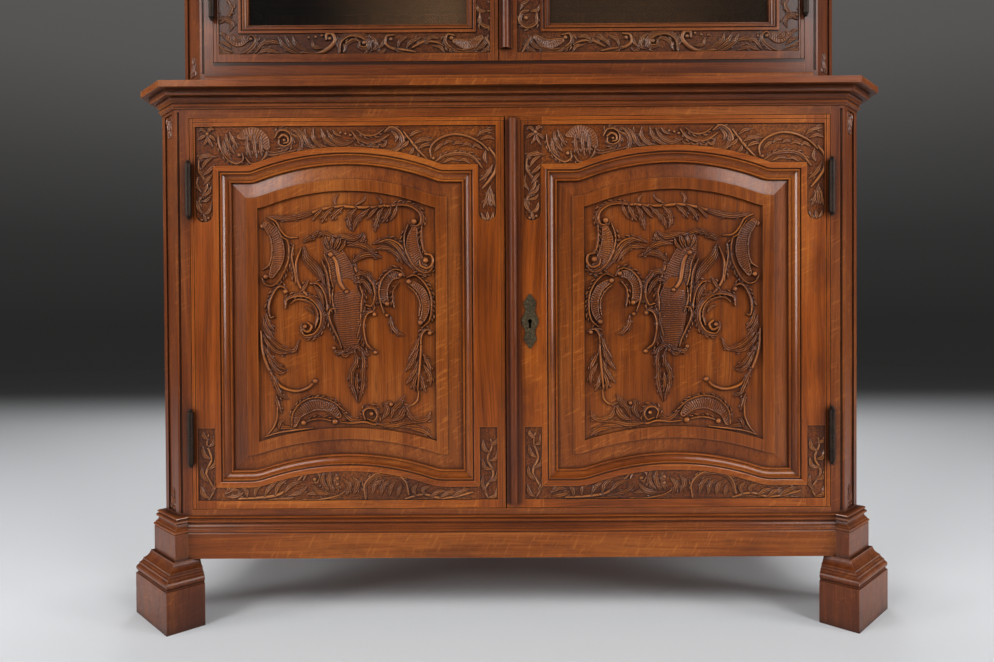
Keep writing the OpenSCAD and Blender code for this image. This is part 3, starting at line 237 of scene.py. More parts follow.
def clean_wood(t, tones, boards):
    """Its three tones, pores, ray flecks and a few sooty clouds."""
    dark, mid, light = tones
    tone = t.plus(t.times(t.cloud, 0.5), t.times(t.rings, 0.36), t.times(t.fibre, 0.26))
    tone = t.minus(tone, 0.05)
    if boards:
        tone = t.plus(tone, board_shade(t, boards))
    ramp = t.add("ValToRGB", {0: tone})
    stops = ramp.color_ramp.elements
    stops[0].position, middle, stops[1].position = TONES_AT
    stops[0].color, stops[1].color = (*dark, 1), (*light, 1)
    stops.new(middle).color = (*mid, 1)
    fleck = t.times(t.step(t.flecks, 0.55, 0.68), t.step(t.cloud, 0.42, 0.6), 0.5)
    soot = t.times(t.step(t.stain, 0.5, 0.72), 0.55)
    colour = t.mix(t.times(t.pore, 0.45), ramp.outputs[0], shaded(dark, (0.4, 0.4, 0.4)))
    colour = t.mix(fleck, colour, shaded(light, (1.2, 1.25, 1.3)))
    return t.mix(soot, colour, shaded(dark, (0.9, 0.8, 0.8)))


def hollow_shade_and_dirt(t, colour, dark, hollow_darkening):
    """Painted shade, broad beside whatever stands out and patchy with the stains, and painted shade with dirt,
    dense in narrow hollows.
    """
    # Painted soft shade beside whatever stands out, patchy with the stains
    beside = t.step(t.openness(BROAD_HOLLOW), 0.55, 1, 1, 0)
    broad_shade = t.times(beside, t.step(t.stain, 0.3, 0.62, 0.25, 0.75), hollow_darkening)
    colour = t.mix(broad_shade, colour, shaded(dark, (0.7, 0.65, 0.8)))
    # Painted shade with dirt, dense in narrow hollows
    return t.mix(t.times(t.grime, hollow_darkening), colour, HOLLOW_SHADE_AND_DIRT)


def worn_edges(t):
    """Where the rounded normal turns away from the true one, out in the open."""
    flat = t.add("Bevel", {"Radius": RUBBED_EDGE}, samples=AO_SAMPLES).outputs[0]
    true = t.add("NewGeometry").outputs["Normal"]
    turn = t.add("VectorMath", {0: flat, 1: true}, operation="DOT_PRODUCT").outputs["Value"]
    return t.times(t.step(turn, 0.86, 0.99, 1, 0), t.step(t.cavity, 0.8, 0.98))


def edge_wear_and_relief_light(t, colour, light, carved):
    """Paler edges from wear, or, on the carving, painted shade in the dips and painted highlights, with some
    wear, on the crests.
    """
    if carved:
        high = t.add("Attribute", attribute_name="relief").outputs["Fac"]
        # On the carving: painted shade in the dips between the crests
        colour = t.mix(t.step(high, 0.1, 0.5, carved, 0), colour, CARVING_CREASE_SHADE)
        # Painted highlights, with some wear, on the carving's crests
        wear_and_crest_highlight = t.times(t.step(high, 0.5, 1), 0.85)
    else:
        wear_and_crest_highlight = worn_edges(t)
    # The edge wear and the carving's painted highlights both come in patches
    patchy = t.step(t.noise(t.grain, 22, 3), 0.35, 0.65, 0.25, 0.75)
    return t.mix(t.times(wear_and_crest_highlight, patchy), colour, shaded(light, (1.35, 1.45, 1.7)))


def punched(t, colour, front, share):
    """The sunk ground of the carving is punched, and darker than the face it is cut from."""
    y = spot(t, 1)
    sunk = t.step(y, front + 0.0005, front + 0.0022)
    low = t.times(sunk, t.step(y, front + 0.0028, front + 0.0034, 1, 0))
    faces_front = t.step(spot(t, 1, "Normal"), -0.98, -0.9, 1, 0)
    punch = t.step(t.noise(t.place.outputs["Object"], 420, 2), 0.38, 0.62, 1, 0.35)
    return t.mix(t.times(low, faces_front, share, punch), colour, PUNCHED)


def painted_shadow_strip(t, colour, low, high):
    """A painted shadow between two heights."""
    z = spot(t, 2)
    # Painted shadow under the foot of the door above
    strip = t.times(t.step(z, low, low + 0.003), t.step(z, high - 0.002, high, 1, 0.9), 0.9)
    return t.mix(strip, colour, BAND_SHADOW)


def waxed(t, colour):
    rough = t.plus(t.times(t.rings, 0.5), t.times(t.cloud, 0.5))
    rough = t.step(rough, 0.3, 0.7, SHINE, SHINE + 0.16)
    rough = t.plus(rough, t.times(t.grime, 0.25), t.times(t.pore, 0.12))
    bump = t.bump(t.minus(t.times(t.fibre, 0.5), t.pore), 0.4, PORE_DEPTH)
    t.paint({"Base Color": colour, "Roughness": rough, "Normal": bump, **WAX})


def oak(name, run, seed, tones=STILE, hollow_darkening=0.8, boards=0, carved=0, ground=None, band=None):
    """Waxed oak: grain along run, painted shade and dirt in hollows, paler at the edges from the wear of hands
    and cloths, and on the carving painted shade in the dips and painted highlights on the crests.
    """
    t = Tree(bpy.data.materials.new(name))
    grow(t, run, seed)
    dark, mid, light = tones
    colour = hollow_shade_and_dirt(t, clean_wood(t, tones, boards), dark, hollow_darkening)
    colour = edge_wear_and_relief_light(t, colour, light, carved)
    if ground:
        colour = punched(t, colour, *ground)
    if band:
        colour = painted_shadow_strip(t, colour, *band)
    waxed(t, colour)
    return t.owner


def metal(name, colour, rust, rough=0.45, beaten=0.0006):
    """Old hand-worked metal: dark, spotted, with painted shade and dirt in its hollows."""
    t = Tree(bpy.data.materials.new(name))
    place = t.add("TexCoord").outputs["Object"]
    spots = t.noise(place, 320, 4, 0.65)
    broad = t.step(t.noise(place, 38, 2), 0.45, 0.7)
    tone = t.mix(t.step(spots, 0.4, 0.66), colour, rust)
    tone = t.mix(t.times(broad, 0.5), tone, shaded(colour, (0.4, 0.4, 0.4)))
    # Painted shade with dirt in the metal's hollows
    tone = t.mix(t.times(t.step(t.openness(0.006), 0.3, 0.9, 1, 0), 0.8), tone, METAL_SHADE_AND_DIRT)
    lumps = t.plus(t.times(spots, 0.3), t.noise(place, 130, 2, 0.5, 0.8))
    rough = t.step(spots, 0.35, 0.7, rough, rough + 0.25)
    t.paint({"Base Color": tone, "Roughness": rough, "Metallic": 0.85, "Normal": t.bump(lumps, 0.8, beaten)})
    return t.owner


def glass_film(t, place):
    """How much brown film, partly dirt and partly painted reflection, lies on the panes: most just left of the
    cabinet's middle, and in soft clouds.
    """
    x = t.split(place)[0]
    left = t.times(t.step(x, -0.42, -0.08), t.step(x, -0.07, 0.05, 1, 0.35))
    film_share = t.times(left, t.step(x, 0.25, 0.5, 1, 0.5), 0.085)
    return t.times(film_share, t.step(t.drawn(place, (3, 3, 2), 3), 0.3, 0.7, 0.8, 1.2))


def old_glass(name):
    """Clear panes, faintly yellow, with a slow wave in the surface and a brown film, partly dirt and partly
    painted reflection.
    """
    t = Tree(bpy.data.materials.new(name))
    place = t.add("TexCoord").outputs["Object"]
    bump = t.bump(t.drawn(place, (5, 5, 2), 1), 0.25, 0.004)
    clear = t.add("BsdfTransparent", {"Color": (0.93, 0.91, 0.86, 1)}).outputs[0]
    shine = t.add("BsdfGlossy", {"Color": (1, 1, 1, 1), "Roughness": 0.02, "Normal": bump}).outputs[0]
    edge = t.add("Fresnel", {"IOR": 1.45, "Normal": bump}).outputs[0]
    pane = t.add("MixShader", {0: edge, 1: clear, 2: shine}).outputs[0]
    # A diffuse brown film: dirt, and a painted reflection of the studio
    film = t.add("BsdfDiffuse", {"Color": (0.6, 0.33, 0.165, 1)}).outputs[0]
    veiled = t.add("MixShader", {0: glass_film(t, place), 1: pane, 2: film}).outputs[0]
    t.set(t.nodes["Material Output"].inputs["Surface"], veiled)
    return t.owner


def pair(level, part):
    """Names of the left and the right piece of one kind."""
    return [f"{level}_{side}_{part}" for side in ("left", "right")]


def both(part):
    """Names of one piece in the lower and in the upper case."""
    return [f"{level}_{part}" for level in ("lower", "upper")]


def dress(material, *names):
    for name in names:
        for slot in nodes[name].material_slots:
            slot.material = material


def dress_doors():
    low, up = (FRONT_LOW, 0.7), (FRONT_UP, 0.85)
    dress(oak("oak_stiles", "z", 1.3, ground=low), *pair("lower", "stiles"))
    dress(oak("oak_rails", "x", 4.1, ground=low), *pair("lower", "rails"))
    dress(oak("oak_upper_stiles", "z", 7.7, UPPER, ground=up), *pair("upper", "stiles"))
    dress(oak("oak_upper_rails", "x", 9.2, UPPER, ground=up), *pair("upper", "rails"))
    dress(oak("oak_panels", "z", 2.9, PANEL, boards=0.155), *pair("lower", "panel"))
    dress(old_glass("old_glass"), *pair("upper", "glass"))


def dress_case():
    dress(oak("oak_plinth", "run", 17, PANEL, hollow_darkening=0.9), "plinth_rails")
    dress(oak("oak_posts", "z", 12, POST), *both("left_post"), *both("right_post"), *both("astragal"),
          "back_posts")
    dress(oak("oak_feet", "z", 15, FOOT, hollow_darkening=0.7), *pair("front", "foot"), "back_feet")
    dress(oak("oak_mouldings", "run", 18, DARK), "base_moulding", "waist_moulding", "waist_board",
          "cornice", "upper_foot_strip")
    dress(oak("oak_case_rails", "x", 21, DARK), "lower_sill_rail", *both("head_rail"))
    # The upper sill rail gets a painted shadow just under the doors
    dress(oak("oak_upper_sill", "x", 22, UPPER, band=(1.0885, 1.0985)), "upper_sill_rail")
    dress(oak("oak_side_rails", "run", 24, DARK), *both("case_rails"))
    dress(oak("oak_side_panels", "z", 26, POST), *both("side_panels"))
    dress(oak("oak_shelves", "x", 29, DARK, hollow_darkening=0.4), "display_shelves", "lower_shelf", *both("floor"))
    dress(oak("oak_back_boards", "z", 31, DARK, hollow_darkening=0.5), *both("back_boards"),
          *pair("upper", "glazing_beads"))
    dress(oak("oak_inside", "x", 33, RAW, hollow_darkening=0.4), "upper_top_boards", *both("battens"))


def dress_metal():
    iron = metal("old_iron", (0.016, 0.012, 0.01), (0.04, 0.022, 0.013))
    dress(iron, "hinge_pin_halves")
    for part in ("left_ironwork", "left_bolt", "right_hinges", "lock_case", "lock_bolt"):
        dress(iron, *both(part))
    dress(metal("old_bronze", (0.085, 0.062, 0.032), (0.04, 0.028, 0.016), 0.38, 0.003), *both("escutcheon"))


# The carving, as tables of strokes. A row is one stroke of the chisel: its kind, its half width at the start,
# the middle and, where it isn't as at the start, the end, its height, and the points it passes, all in
# millimetres from the middle of the door's opening and the foot of the door. r is a round stem, l a leaf with
# a vein, c and d scrolls scooped on one side, b a ribbed shell band, o a bead with one half width, and s any
# stroke that is cut like the one above it.
PANEL_LINES = """
l 1.7 5 3.3 4.6 -152 565 -117 561 -87 566 -57 576
r 2.7 3 4.4 -64 573 -40 580 -10 584 20 582 50 582 80 585
d 2.7 3.7 4.3 5 80 585 103 588 123 586 141 575 147 561 144 547 133 542 125 548
o 5.7 5.6 131 554
l 1 3.3 3.6 -47 578 -58 568 -65 557
l 1 3.7 3.8 -24 582 -38 571 -48 552
l 1 3.7 3.6 -5 583 -20 570 -29 557
l 1.3 4.3 1 4 21 581 8 569 4 552 9 538
s 46 581 33 569 20 557 12 536
l 1 4 3.8 61 582 49 570 40 558
l 1.3 4.3 1 4 72 582 61 565 55 535
l 1.3 4 1 3.8 87 584 80 568 70 552
l 1 3.7 3.6 98 586 94 572 85 556
l 1 3 2.6 -21 586 -23 598 -14 608
s 16 585 33 596 37 605
s 67 588 65 598 57 604
o 5 5.2 -162 547
b 6.7 12 5.3 3.4 -155 549 -140 530 -133 503 -135 476 -146 451
d 1.3 2 2 4.8 -141 553 -131 539 -124 526 -114 519 -110 500 -112 480 -120 459 -131 440 -145 430 -159 434 -165 445
c 1 1.7 1.3 3.8 -149 529 -145 512 -146 490 -151 472 -163 463
r 1.3 2 3.8 -154 565 -137 556 -127 538 -114 526 -95 524
o 5 5.2 -157 449
c 1.7 2.7 4.4 -119 419 -121 428 -130 431 -140 423 -149 406 -153 386 -149 369 -141 371
o 4.7 5 -119 420
l 1.3 5 4.2 -165 354 -150 329 -128 310 -104 305 -93 326
l 1.3 4.3 1 4 -166 339 -152 317 -133 302 -110 301
l 1.3 4.7 1 4 -165 319 -150 292 -131 274 -118 268
l 1.3 4.3 1 3.8 -157 299 -144 274 -130 262 -119 265
r 1.7 3 2.7 4.6 -167 343 -164 303 -151 266 -136 242 -119 231 -97 227 -77 233 -67 242
o 5 4.6 -63 246
l 1.3 4 1 4 -150 265 -137 235 -129 218 -115 211
l 1 3.7 3.8 -139 219 -136 202 -129 183
r 1.3 2 1 3.4 -137 195 -138 173 -147 152 -162 137
l 1 4 3.4 -157 380 -153 359 -141 343
l 1 4.3 3.4 -163 370 -157 349 -143 329
d 2 4.7 2.7 4.8 -120 389 -117 405 -97 413 -75 411 -57 397 -47 377 -49 354 -62 336 -81 332 -89 341 -88 355
c 1.3 2.7 2 4 -109 396 -99 403 -82 402 -65 392 -58 372 -62 352
r 2 2.7 1.3 3.6 -77 360 -69 352 -75 342 -84 345 -85 354
o 4.3 5 -82 352
l 1 3 3 -82 389 -72 385 -65 374
l 1.7 8.7 2 4.6 -83 507 -79 486 -64 468 -50 450 -44 434
d 1.7 3.7 4.6 -70 436 -54 435 -42 419 -36 395 -38 372
l 1.3 5 1 3.4 -65 434 -55 422 -48 406 -45 389
r 1.3 2.7 2 3.8 -88 503 -98 476 -98 449 -91 430 -78 413
c 1.3 2.7 3.6 -104 510 -108 486 -102 459 -99 436
o 4 4.4 -83 436
l 1 3.7 3.2 -74 443 -82 429 -89 419
l 2.7 5.3 2 5 -82 516 -74 523 -63 521
l 2 5 1.7 5 -67 524 -54 533 -38 530
l 2 5 1.7 4.8 -54 526 -48 532 -31 526 -24 514
l 1.7 6 4.6 -28 527 -4 526 16 522 31 532
l 1.7 4.7 1.3 4.4 1 514 18 511 33 522 33 533
b 9 22 21 3.6 -36 516 -24 489 -9 449 -2 422
b 21 27 12 3.8 -2 422 3 389 5 349 5 312
c 1.2 2.6 1.4 4.6 -44 492 -36 470 -33 448 -27 428
s -27 424 -30 408 -28 392 -22 378
d 1.2 2.6 1.4 4.6 14 490 16 470 22 452 26 434
d 1.4 3.2 4.8 26 430 32 414 30 396 28 380
s 27 376 29 360 25 344 20 330
l 1.2 3.2 0.8 4.6 -20 500 -14 514 -12 525
s -16 496 -6 508 -2 520
l 1.3 3.3 5 -34 502 -40 516 -41 527
s -29 504 -28 519 -27 526
s -24 502 -18 516 -15 524
r 2.6 4.0 3.0 4.8 -32 492 -21 478 -16 452 -12 434 0 418
o 5.2 5.6 -31 491
o 4.4 5.4 0 419
c 1.7 2.7 5.2 -49 479 -39 452 -35 422 -33 397
c 1.7 2.7 5 -22 387 -33 385 -36 369 -28 348 -17 325 -12 310
l 1.7 5.3 5 15 469 16 479 32 489 50 490 67 485
l 1.7 5 4.6 2 508 22 510 41 503 56 489
l 1.3 5.3 4.6 15 449 29 455 41 450 54 432
l 1.3 4.7 4.6 15 435 32 439 45 422 52 405
d 1.7 3 2 5 40 449 53 431 56 408 48 390 37 392
c 2 4 5 56 374 49 381 37 376 30 358 31 335 38 314 56 301
o 4.3 5 53 375
s 54 301
l 1.7 4.7 4.6 -29 311 -19 301 -3 304 5 312
l 1.7 4.7 4.4 8 308 21 311 34 298 42 296
o 4 4.6 -26 310
l 1.3 4 4.4 -13 300 -3 295 4 302
l 1.7 4.7 1.3 4.6 14 307 18 283 8 262 9 237 19 204
l 1.7 4.3 1.3 4.4 28 306 32 281 29 258 30 238 21 204
l 1.3 3.3 4.4 19 261 17 241 20 221
l 1.7 6 4.4 50 511 75 518 96 507 112 484 130 460
l 1.3 4.3 4 56 501 79 503 96 492 109 472
d 1.3 2.3 1.7 4.4 63 515 83 520 103 511 118 490 130 466 153 451
b 6.7 12 5.3 3.4 131 537 127 518 131 493 143 473 156 461
c 1.3 2 2 4.8 119 548 111 525 113 502 122 479 137 461 156 454 167 467 165 485
d 1 2 2 4.4 146 545 145 525 149 502 157 489
o 5.7 5.6 153 479
r 1.7 2.7 4.6 151 491 164 488 167 475 158 464 144 468 141 479
b 5.3 10 4.7 3.4 104 451 84 448 71 431 71 410 78 394
c 1.3 2.3 1.7 4.8 112 448 103 461 85 460 67 442 61 418 65 395 71 378
d 1 1.7 1.3 4 101 436 91 422 89 405 92 388
o 4.7 5 104 451
s 78 395
o 3.7 4.6 77 373
l 1.3 3.7 3.8 84 372 87 351 99 337 112 334
b 4.7 8 3.4 124 436 142 423 152 401 151 378 143 359
d 1.3 2.3 1.7 4.8 116 446 132 451 150 437 162 415 165 388 160 362 146 348
c 1 1.7 1.3 4 119 429 133 415 141 395 139 371
o 5 5.2 120 438
s 142 358
c 1.7 3 4.4 166 340 152 345 142 332 141 312 146 294 157 289
o 4.3 5 160 338
l 1.3 4 1 4 140 328 131 304 118 286
l 1.3 4.3 1 4 139 308 125 281 112 264
l 1.3 4.7 1 4 140 288 130 260 113 239
l 1.3 4 1 4 146 298 157 277 162 257
l 1.3 4.3 1 4 147 278 160 254 160 234
s 139 264 144 242 152 223
l 1.3 4 1 3.8 136 261 129 241 131 225
r 1.7 2.3 1.3 4.2 143 314 141 281 138 251 136 227
r 1.3 2 3.4 138 226 135 208 123 198 109 201
b 5.3 12.7 3.6 -104 162 -97 183 -76 198 -57 202 -35 196 -18 179
c 1.3 2.3 1.7 4.6 -109 158 -105 185 -86 206 -59 213 -30 205 -11 190 0 182
d 1.3 2 4 -84 167 -64 173 -45 173 -27 168
o 5.3 5.4 -86 165
o 5.7 5.4 -25 167
o 3.7 4.6 -4 183
l 1.3 3.7 1 3.6 -11 186 8 170 30 171
r 1.3 2.3 1.7 4 -14 166 6 164 33 166 53 161 80 163
d 1.7 3 2 4.6 33 171 29 184 37 194 52 193 59 179 51 167 39 171
o 4.3 5 46 182
l 1.7 5.3 4.4 67 172 77 187 74 201 84 205
l 1.7 5 4.4 84 174 90 191 101 202 111 217
o 4 4.6 84 200
l 1.7 5.7 4.2 84 167 102 177 110 191 121 197
l 1.7 4.3 4.2 114 194 120 177 137 168 154 171 161 184
l 1.3 4 3.8 57 161 87 158 117 164 137 164
s 100 155 124 157 144 152 157 151
l 1.3 4 3.6 120 152 140 150 154 143 162 135
l 1.3 4 3.8 -151 142 -134 155 -117 156 -101 153
l 1.3 3.7 3.6 -135 152 -132 165 -124 170
r 1.3 2 3.4 -161 138 -135 146 -101 151 -67 155
"""

CROWN_LINES = """
l 1.2 3.5 2.6 -267 724 -276 733 -282 728
s -266 725 -259 734 -252 731
s -267 723 -277 717 -284 712
s -266 722 -256 717 -250 710
l 1.2 3.2 2.4 -266 722 -267 712 -274 702
s -265 720 -261 709 -255 699
o 3.5 3 -266 724
l 1.6 4.3 2.8 -249 680 -263 682 -277 680 -285 668
l 1.2 3.5 2.4 -257 678 -269 670 -277 657
c 1.6 2.8 2.8 -283 673 -284 653 -275 639 -268 625 -275 608 -284 593 -279 570
l 1.2 3.9 2.6 -252 666 -262 654 -275 644
l 1.2 3.5 2.4 -257 646 -266 636 -274 625
s -285 641 -289 628 -279 612
s -259 624 -265 611 -279 604
s -261 603 -269 596 -279 595
s -289 598 -284 580 -276 571
s -260 589 -265 574 -276 570
o 2.8 2.6 -278 559
s -265 562
l 1.2 3.2 2.4 -275 571 -271 558 -273 552
d 1.6 2.8 2.8 -244 719 -241 700 -227 678 -211 668 -198 674 -199 686
o 3.9 3 -204 683
l 1.6 4.3 2.8 -230 724 -226 704 -214 686
l 1.6 4.3 2.6 -235 712 -231 690 -220 675
l 1.2 3.5 2.4 -223 728 -216 712 -207 696
b 4.7 13.4 5.5 2 -203 718 -182 724 -162 715 -151 698
l 1.2 3.5 2.4 -189 720 -189 700 -182 678
s -176 722 -175 699 -171 677
s -163 719 -163 699 -161 680
c 1.6 2.4 2.8 -192 677 -183 666 -167 667 -154 679 -149 696
d 1.6 3.2 3 -136 716 -129 729 -115 731 -103 722 -103 706 -115 698 -128 703 -128 715
r 1.6 2.4 3 -128 715 -120 721 -111 717 -110 708 -118 705
o 3.2 3.2 -117 711
c 1.6 3.5 2.8 -103 722 -89 714 -85 700 -96 688 -112 685
l 1.6 4.3 2.8 -149 690 -135 685 -120 689 -110 696
s -148 683 -131 682 -111 686 -94 693
l 1.2 3.5 2.6 -103 733 -92 726 -83 712 -84 695
l 1.6 4.3 2.8 -77 733 -77 716 -67 700 -49 694
s -61 733 -62 715 -46 699 -27 695
l 1.6 4.7 3 -46 733 -39 714 -22 702 0 697
s -35 730 -22 711 -2 703 17 709
l 1.2 3.5 2.6 -91 732 -81 722 -73 705 -64 693
l 1.2 3.2 2.6 -24 731 -18 723 -6 718
o 2.8 2.8 -9 725
s 1 723
s 10 720
d 1.6 3.5 2.8 13 728 26 713 46 706 66 710 84 721
l 1.2 3.2 2.4 17 704 27 697 34 704
s 33 703 41 696 50 703
s 49 702 58 695 67 703
s 64 703 74 699 80 709
d 1.2 2.4 2.6 23 730 37 721 57 721 74 731
c 2 5.5 3.2 76 725 91 732 105 721 109 706 98 692 83 692
l 1.2 3.9 2.6 90 728 99 717 97 706
r 1.6 2.4 1.2 3 113 726 130 704 145 686 161 670
l 1.2 3.9 2.8 124 716 135 725 149 727
l 1.2 4.3 2.8 133 703 150 711 169 710
l 1.2 3.9 2.8 141 693 153 700 167 700
s 123 709 116 701 107 696
l 1.2 3.5 2.6 132 696 128 687 121 683
s 141 685 140 677 133 672
r 1.6 2.4 3 166 675 164 693 178 710 205 720 234 717 260 704 276 689
l 1.2 3.5 2.4 172 688 182 699 192 703
s 191 700 197 707 208 706
s 208 700 216 705 226 702
s 225 698 234 702 245 697
s 245 694 252 700 264 692
c 1.6 3.2 2.8 174 668 192 679 222 683 246 676 263 656
o 3.2 2.8 170 675
l 1.2 3.2 2.2 189 666 204 673 218 670
s 218 669 229 672 240 664
l 1.2 3.5 2.6 253 715 265 725 286 729
s 260 709 275 715 289 710
r 1.6 3.2 2.8 277 694 291 674 290 652 279 634 264 616
l 1.2 3.9 2.6 284 662 273 643 258 631
l 1.2 3.5 2.4 271 690 268 675 273 664
l 1.2 3.9 2.6 279 621 274 601 265 579
s 280 616 283 596 290 580
l 1.2 3.5 2.4 276 610 278 594 278 583
s 276 549 266 559 262 569
s 277 549 274 562 273 571
s 278 549 283 561 285 570
l 1.2 3.2 2.2 280 550 289 557 292 565
"""

FOOT_LINES = """
l 1.9 4.8 2.4 -238 28 -226 37 -211 35
l 1.4 3.8 2.2 -236 22 -216 24 -202 31
s -233 33 -229 43 -221 47
r 1.9 2.9 2.6 -211 19 -173 21 -134 27 -105 46 -86 65
l 1.4 4.3 2.6 -195 22 -197 34 -205 43
s -180 23 -178 37 -165 49
s -161 24 -153 39 -136 52
s -141 26 -134 45 -116 58
s -123 30 -110 45 -90 52
s -115 24 -91 32 -78 44
l 1.4 4.3 2.4 -154 17 -129 16 -105 21
d 1.9 4.3 2.8 -86 56 -78 71 -60 73 -51 61 -59 48 -67 53
o 3.8 2.8 -64 56
l 1.9 4.8 2.6 -78 27 -62 30 -42 24
l 1.9 5.3 2.8 -68 44 -57 32 -35 27
l 1.9 4.8 2.6 -47 68 -49 51 -38 35
s -34 70 -36 51 -28 32
l 1.4 4.3 2.4 -23 66 -22 46 -18 32
o 3.4 2.6 -20 58
s -20 46
c 1.9 3.8 2.6 -86 16 -57 14 -23 21 -4 32
l 1.9 4.8 2.6 -8 56 3 42 -4 25
s 11 60 19 46 11 27
c 2.4 4.8 3 35 19 36 46 59 64 88 65 109 50 117 26
l 1.4 4.3 2.6 47 26 54 46 67 55
s 64 24 69 44 80 53
s 80 23 84 41 92 50
s 96 22 100 36 104 44
r 1.9 2.9 2.6 112 18 146 26 184 18 223 25 242 30
l 1.4 4.3 2.6 131 24 127 36 136 47
s 148 25 146 36 160 43
l 1.4 4.3 2.4 160 21 175 31 190 32
s 179 19 194 29 211 30
s 204 22 218 31 236 37
l 1.4 4.3 2.2 136 18 155 12 175 14
s 189 15 213 13 237 18
r 1.4 2.4 2.4 -271 14 -260 38 -274 67 -264 96 -272 125 -269 144
l 1.4 4.3 2.4 -264 33 -255 47 -257 62
s -270 52 -281 65 -283 80
s -270 76 -257 86 -256 101
s -266 96 -278 105 -282 121
s -270 120 -259 127 -258 141
l 1.4 4.3 2.2 -270 134 -279 141 -280 149
s -269 20 -281 28 -285 43
r 1.4 2.4 2.4 276 11 266 35 282 64 271 93 279 117 277 132
l 1.4 4.3 2.4 268 30 260 45 262 59
s 274 50 288 57 291 74
s 279 74 265 78 261 93
s 274 90 288 95 291 112
s 274 107 264 114 262 129
l 1.4 4.3 2.2 277 122 288 127 290 134
s 271 18 286 23 291 40
"""

SILL_LINES = """
d 1.9 4.2 2.6 -283 115 -280 92 -260 90 -249 105 -256 121
o 4.2 2.8 -276 100
l 1.9 5.2 2.6 -272 78 -260 85 -248 76 -252 63
c 1.9 3.8 2.6 -282 65 -281 42 -268 26 -250 20
l 1.4 4.2 2.4 -276 59 -264 54 -255 40
s -273 42 -260 37 -250 28
b 5.6 10.3 4.7 1.9 -254 49 -237 42 -218 46
c 1.9 3.3 2.8 -267 19 -232 14 -208 28 -200 46 -211 55 -218 46
o 3.8 3 -211 46
l 1.4 3.8 2.2 -247 54 -242 45 -232 42
r 1.9 2.8 1.4 2.6 -279 19 -242 13 -214 14
l 1.9 4.2 1.4 2.6 -202 19 -187 37 -166 40 -138 32
l 1.4 4.2 2.4 -199 16 -178 24 -153 17
l 1.9 5.2 2.8 -156 50 -145 32 -124 20 -102 16
l 1.9 4.7 2.8 -143 52 -133 35 -116 23 -96 18
s -128 52 -123 37 -110 26 -92 19
r 2.4 4.2 3 -110 18 -80 15 -56 27 -44 42 -49 55 -60 54 -61 44
o 3.8 3 -54 46
l 1.4 4.2 2.6 -89 43 -85 30 -68 27
o 2.8 2.4 -96 48
s -82 49
s -70 52
d 2.4 6.1 3 -36 17 -34 40 -16 54 8 52 23 40 20 26 5 28 4 38
o 4.2 3 14 37
c 1.4 3.3 2.6 -26 19 -20 34 -5 42 6 38
l 1.4 4.2 2.6 24 52 36 41 38 27 27 21
l 1.4 3.8 2.4 40 26 50 33 55 47
s 40 22 49 18 57 25
r 1.9 3.3 2.8 73 52 59 49 57 35 71 25 96 22 115 18
o 3.8 3 67 44
l 1.4 4.2 2.6 81 28 85 40 99 48
s 98 26 107 38 127 47
s 113 28 129 38 145 40
s 77 23 91 14 115 14
r 1.9 2.8 1.4 2.6 110 27 133 38 157 37 171 30
l 1.4 4.2 2.6 135 39 148 47 162 45
l 1.4 3.8 2.4 152 30 166 27 173 15
c 1.9 3.8 2.8 193 51 179 53 174 39 185 25 208 19 236 25 255 38
o 4.2 3 187 45
b 4.7 9.4 1.9 194 39 222 32 246 46
l 1.4 4.2 2.4 190 25 205 15 232 17
l 1.4 4.7 2.6 236 21 251 32 260 51
s 246 17 260 24 267 41
r 1.9 3.3 2.6 255 46 265 29 273 15
d 1.9 4.2 2.8 244 93 246 74 263 67 276 78 272 94 260 97
o 4.2 3 265 84
l 1.4 4.2 2.4 237 111 242 100 256 97
s 260 118 271 111 276 100
"""

LOW_DOOR = dict(foot=220.2, high=753.6, top=123, bottom=73, rise=35, sag=31, half=190, stick=29, tail=200,
                heel=156, heel_round=False, front=FRONT_LOW)
UP_DOOR = dict(foot=1097.2, high=1074.6, top=108, bottom=75, rise=35, sag=0, half=186, stick=15, tail=300,
               heel=300, heel_round=True, front=FRONT_UP)
# Radii that ease the opening's arches into its straight sides
EASE, LOW_EASE = 50, 76
# Outer edges of the carved ground and of the opening, left to right, and the middle of the carving
LOWER_DOORS = {
    "lower_left": dict(LOW_DOOR, ground=(-605.8, -26.0), hole=(-539.8, -92.5), mid=-316.15),
    "lower_right": dict(LOW_DOOR, ground=(27.0, 605.8), hole=(92.0, 539.8), mid=316.1),
}
UPPER_DOORS = {
    "upper_left": dict(UP_DOOR, ground=(-574.8, -36.0), hole=(-517.8, -82.5), mid=-300.15),
    "upper_right": dict(UP_DOOR, ground=(17.0, 574.8), hole=(82.0, 517.8), mid=299.9),
}

# Widths of a flute and of a shell's rib, spacing of the small leaves, and the length that has them
FLUTE = 3.6
RIB = 4.2
LOBE_STEP = 8.5
FRINGED = {"l": 34, "c": 30, "d": 30, "b": math.inf}

# The carving is widened and raised a little against the tables, and the crown narrowed on the upper doors
FATTER = 1.1
UPPER_CROWN_WIDTH = 0.93

# Depth of the sunk grounds, spacing of the points of the sheets, how far these reach round the strokes and
# dip into the wood, and the least height that counts as carving
FRAME_SUNK, PANEL_SUNK, POST_SUNK = 2.5, 8.5, 3.0
FRAME_PITCH, PANEL_PITCH, POST_PITCH = 0.85, 0.9, 0.8
SHEET_MARGIN = 6
DIP = 0.5
LOWEST_RAISED = 0.12

# Plain wood between the carving and the door's ends, the opening's moulding, and the panel's edge
END_EDGE = 15.5
LIP = 3
PANEL_EDGE = 52.5

# Points of a stroke's line lie this far apart, and are compared with so many points of the sheet at once
LINE_STEP = 0.9
BATCH = 4000


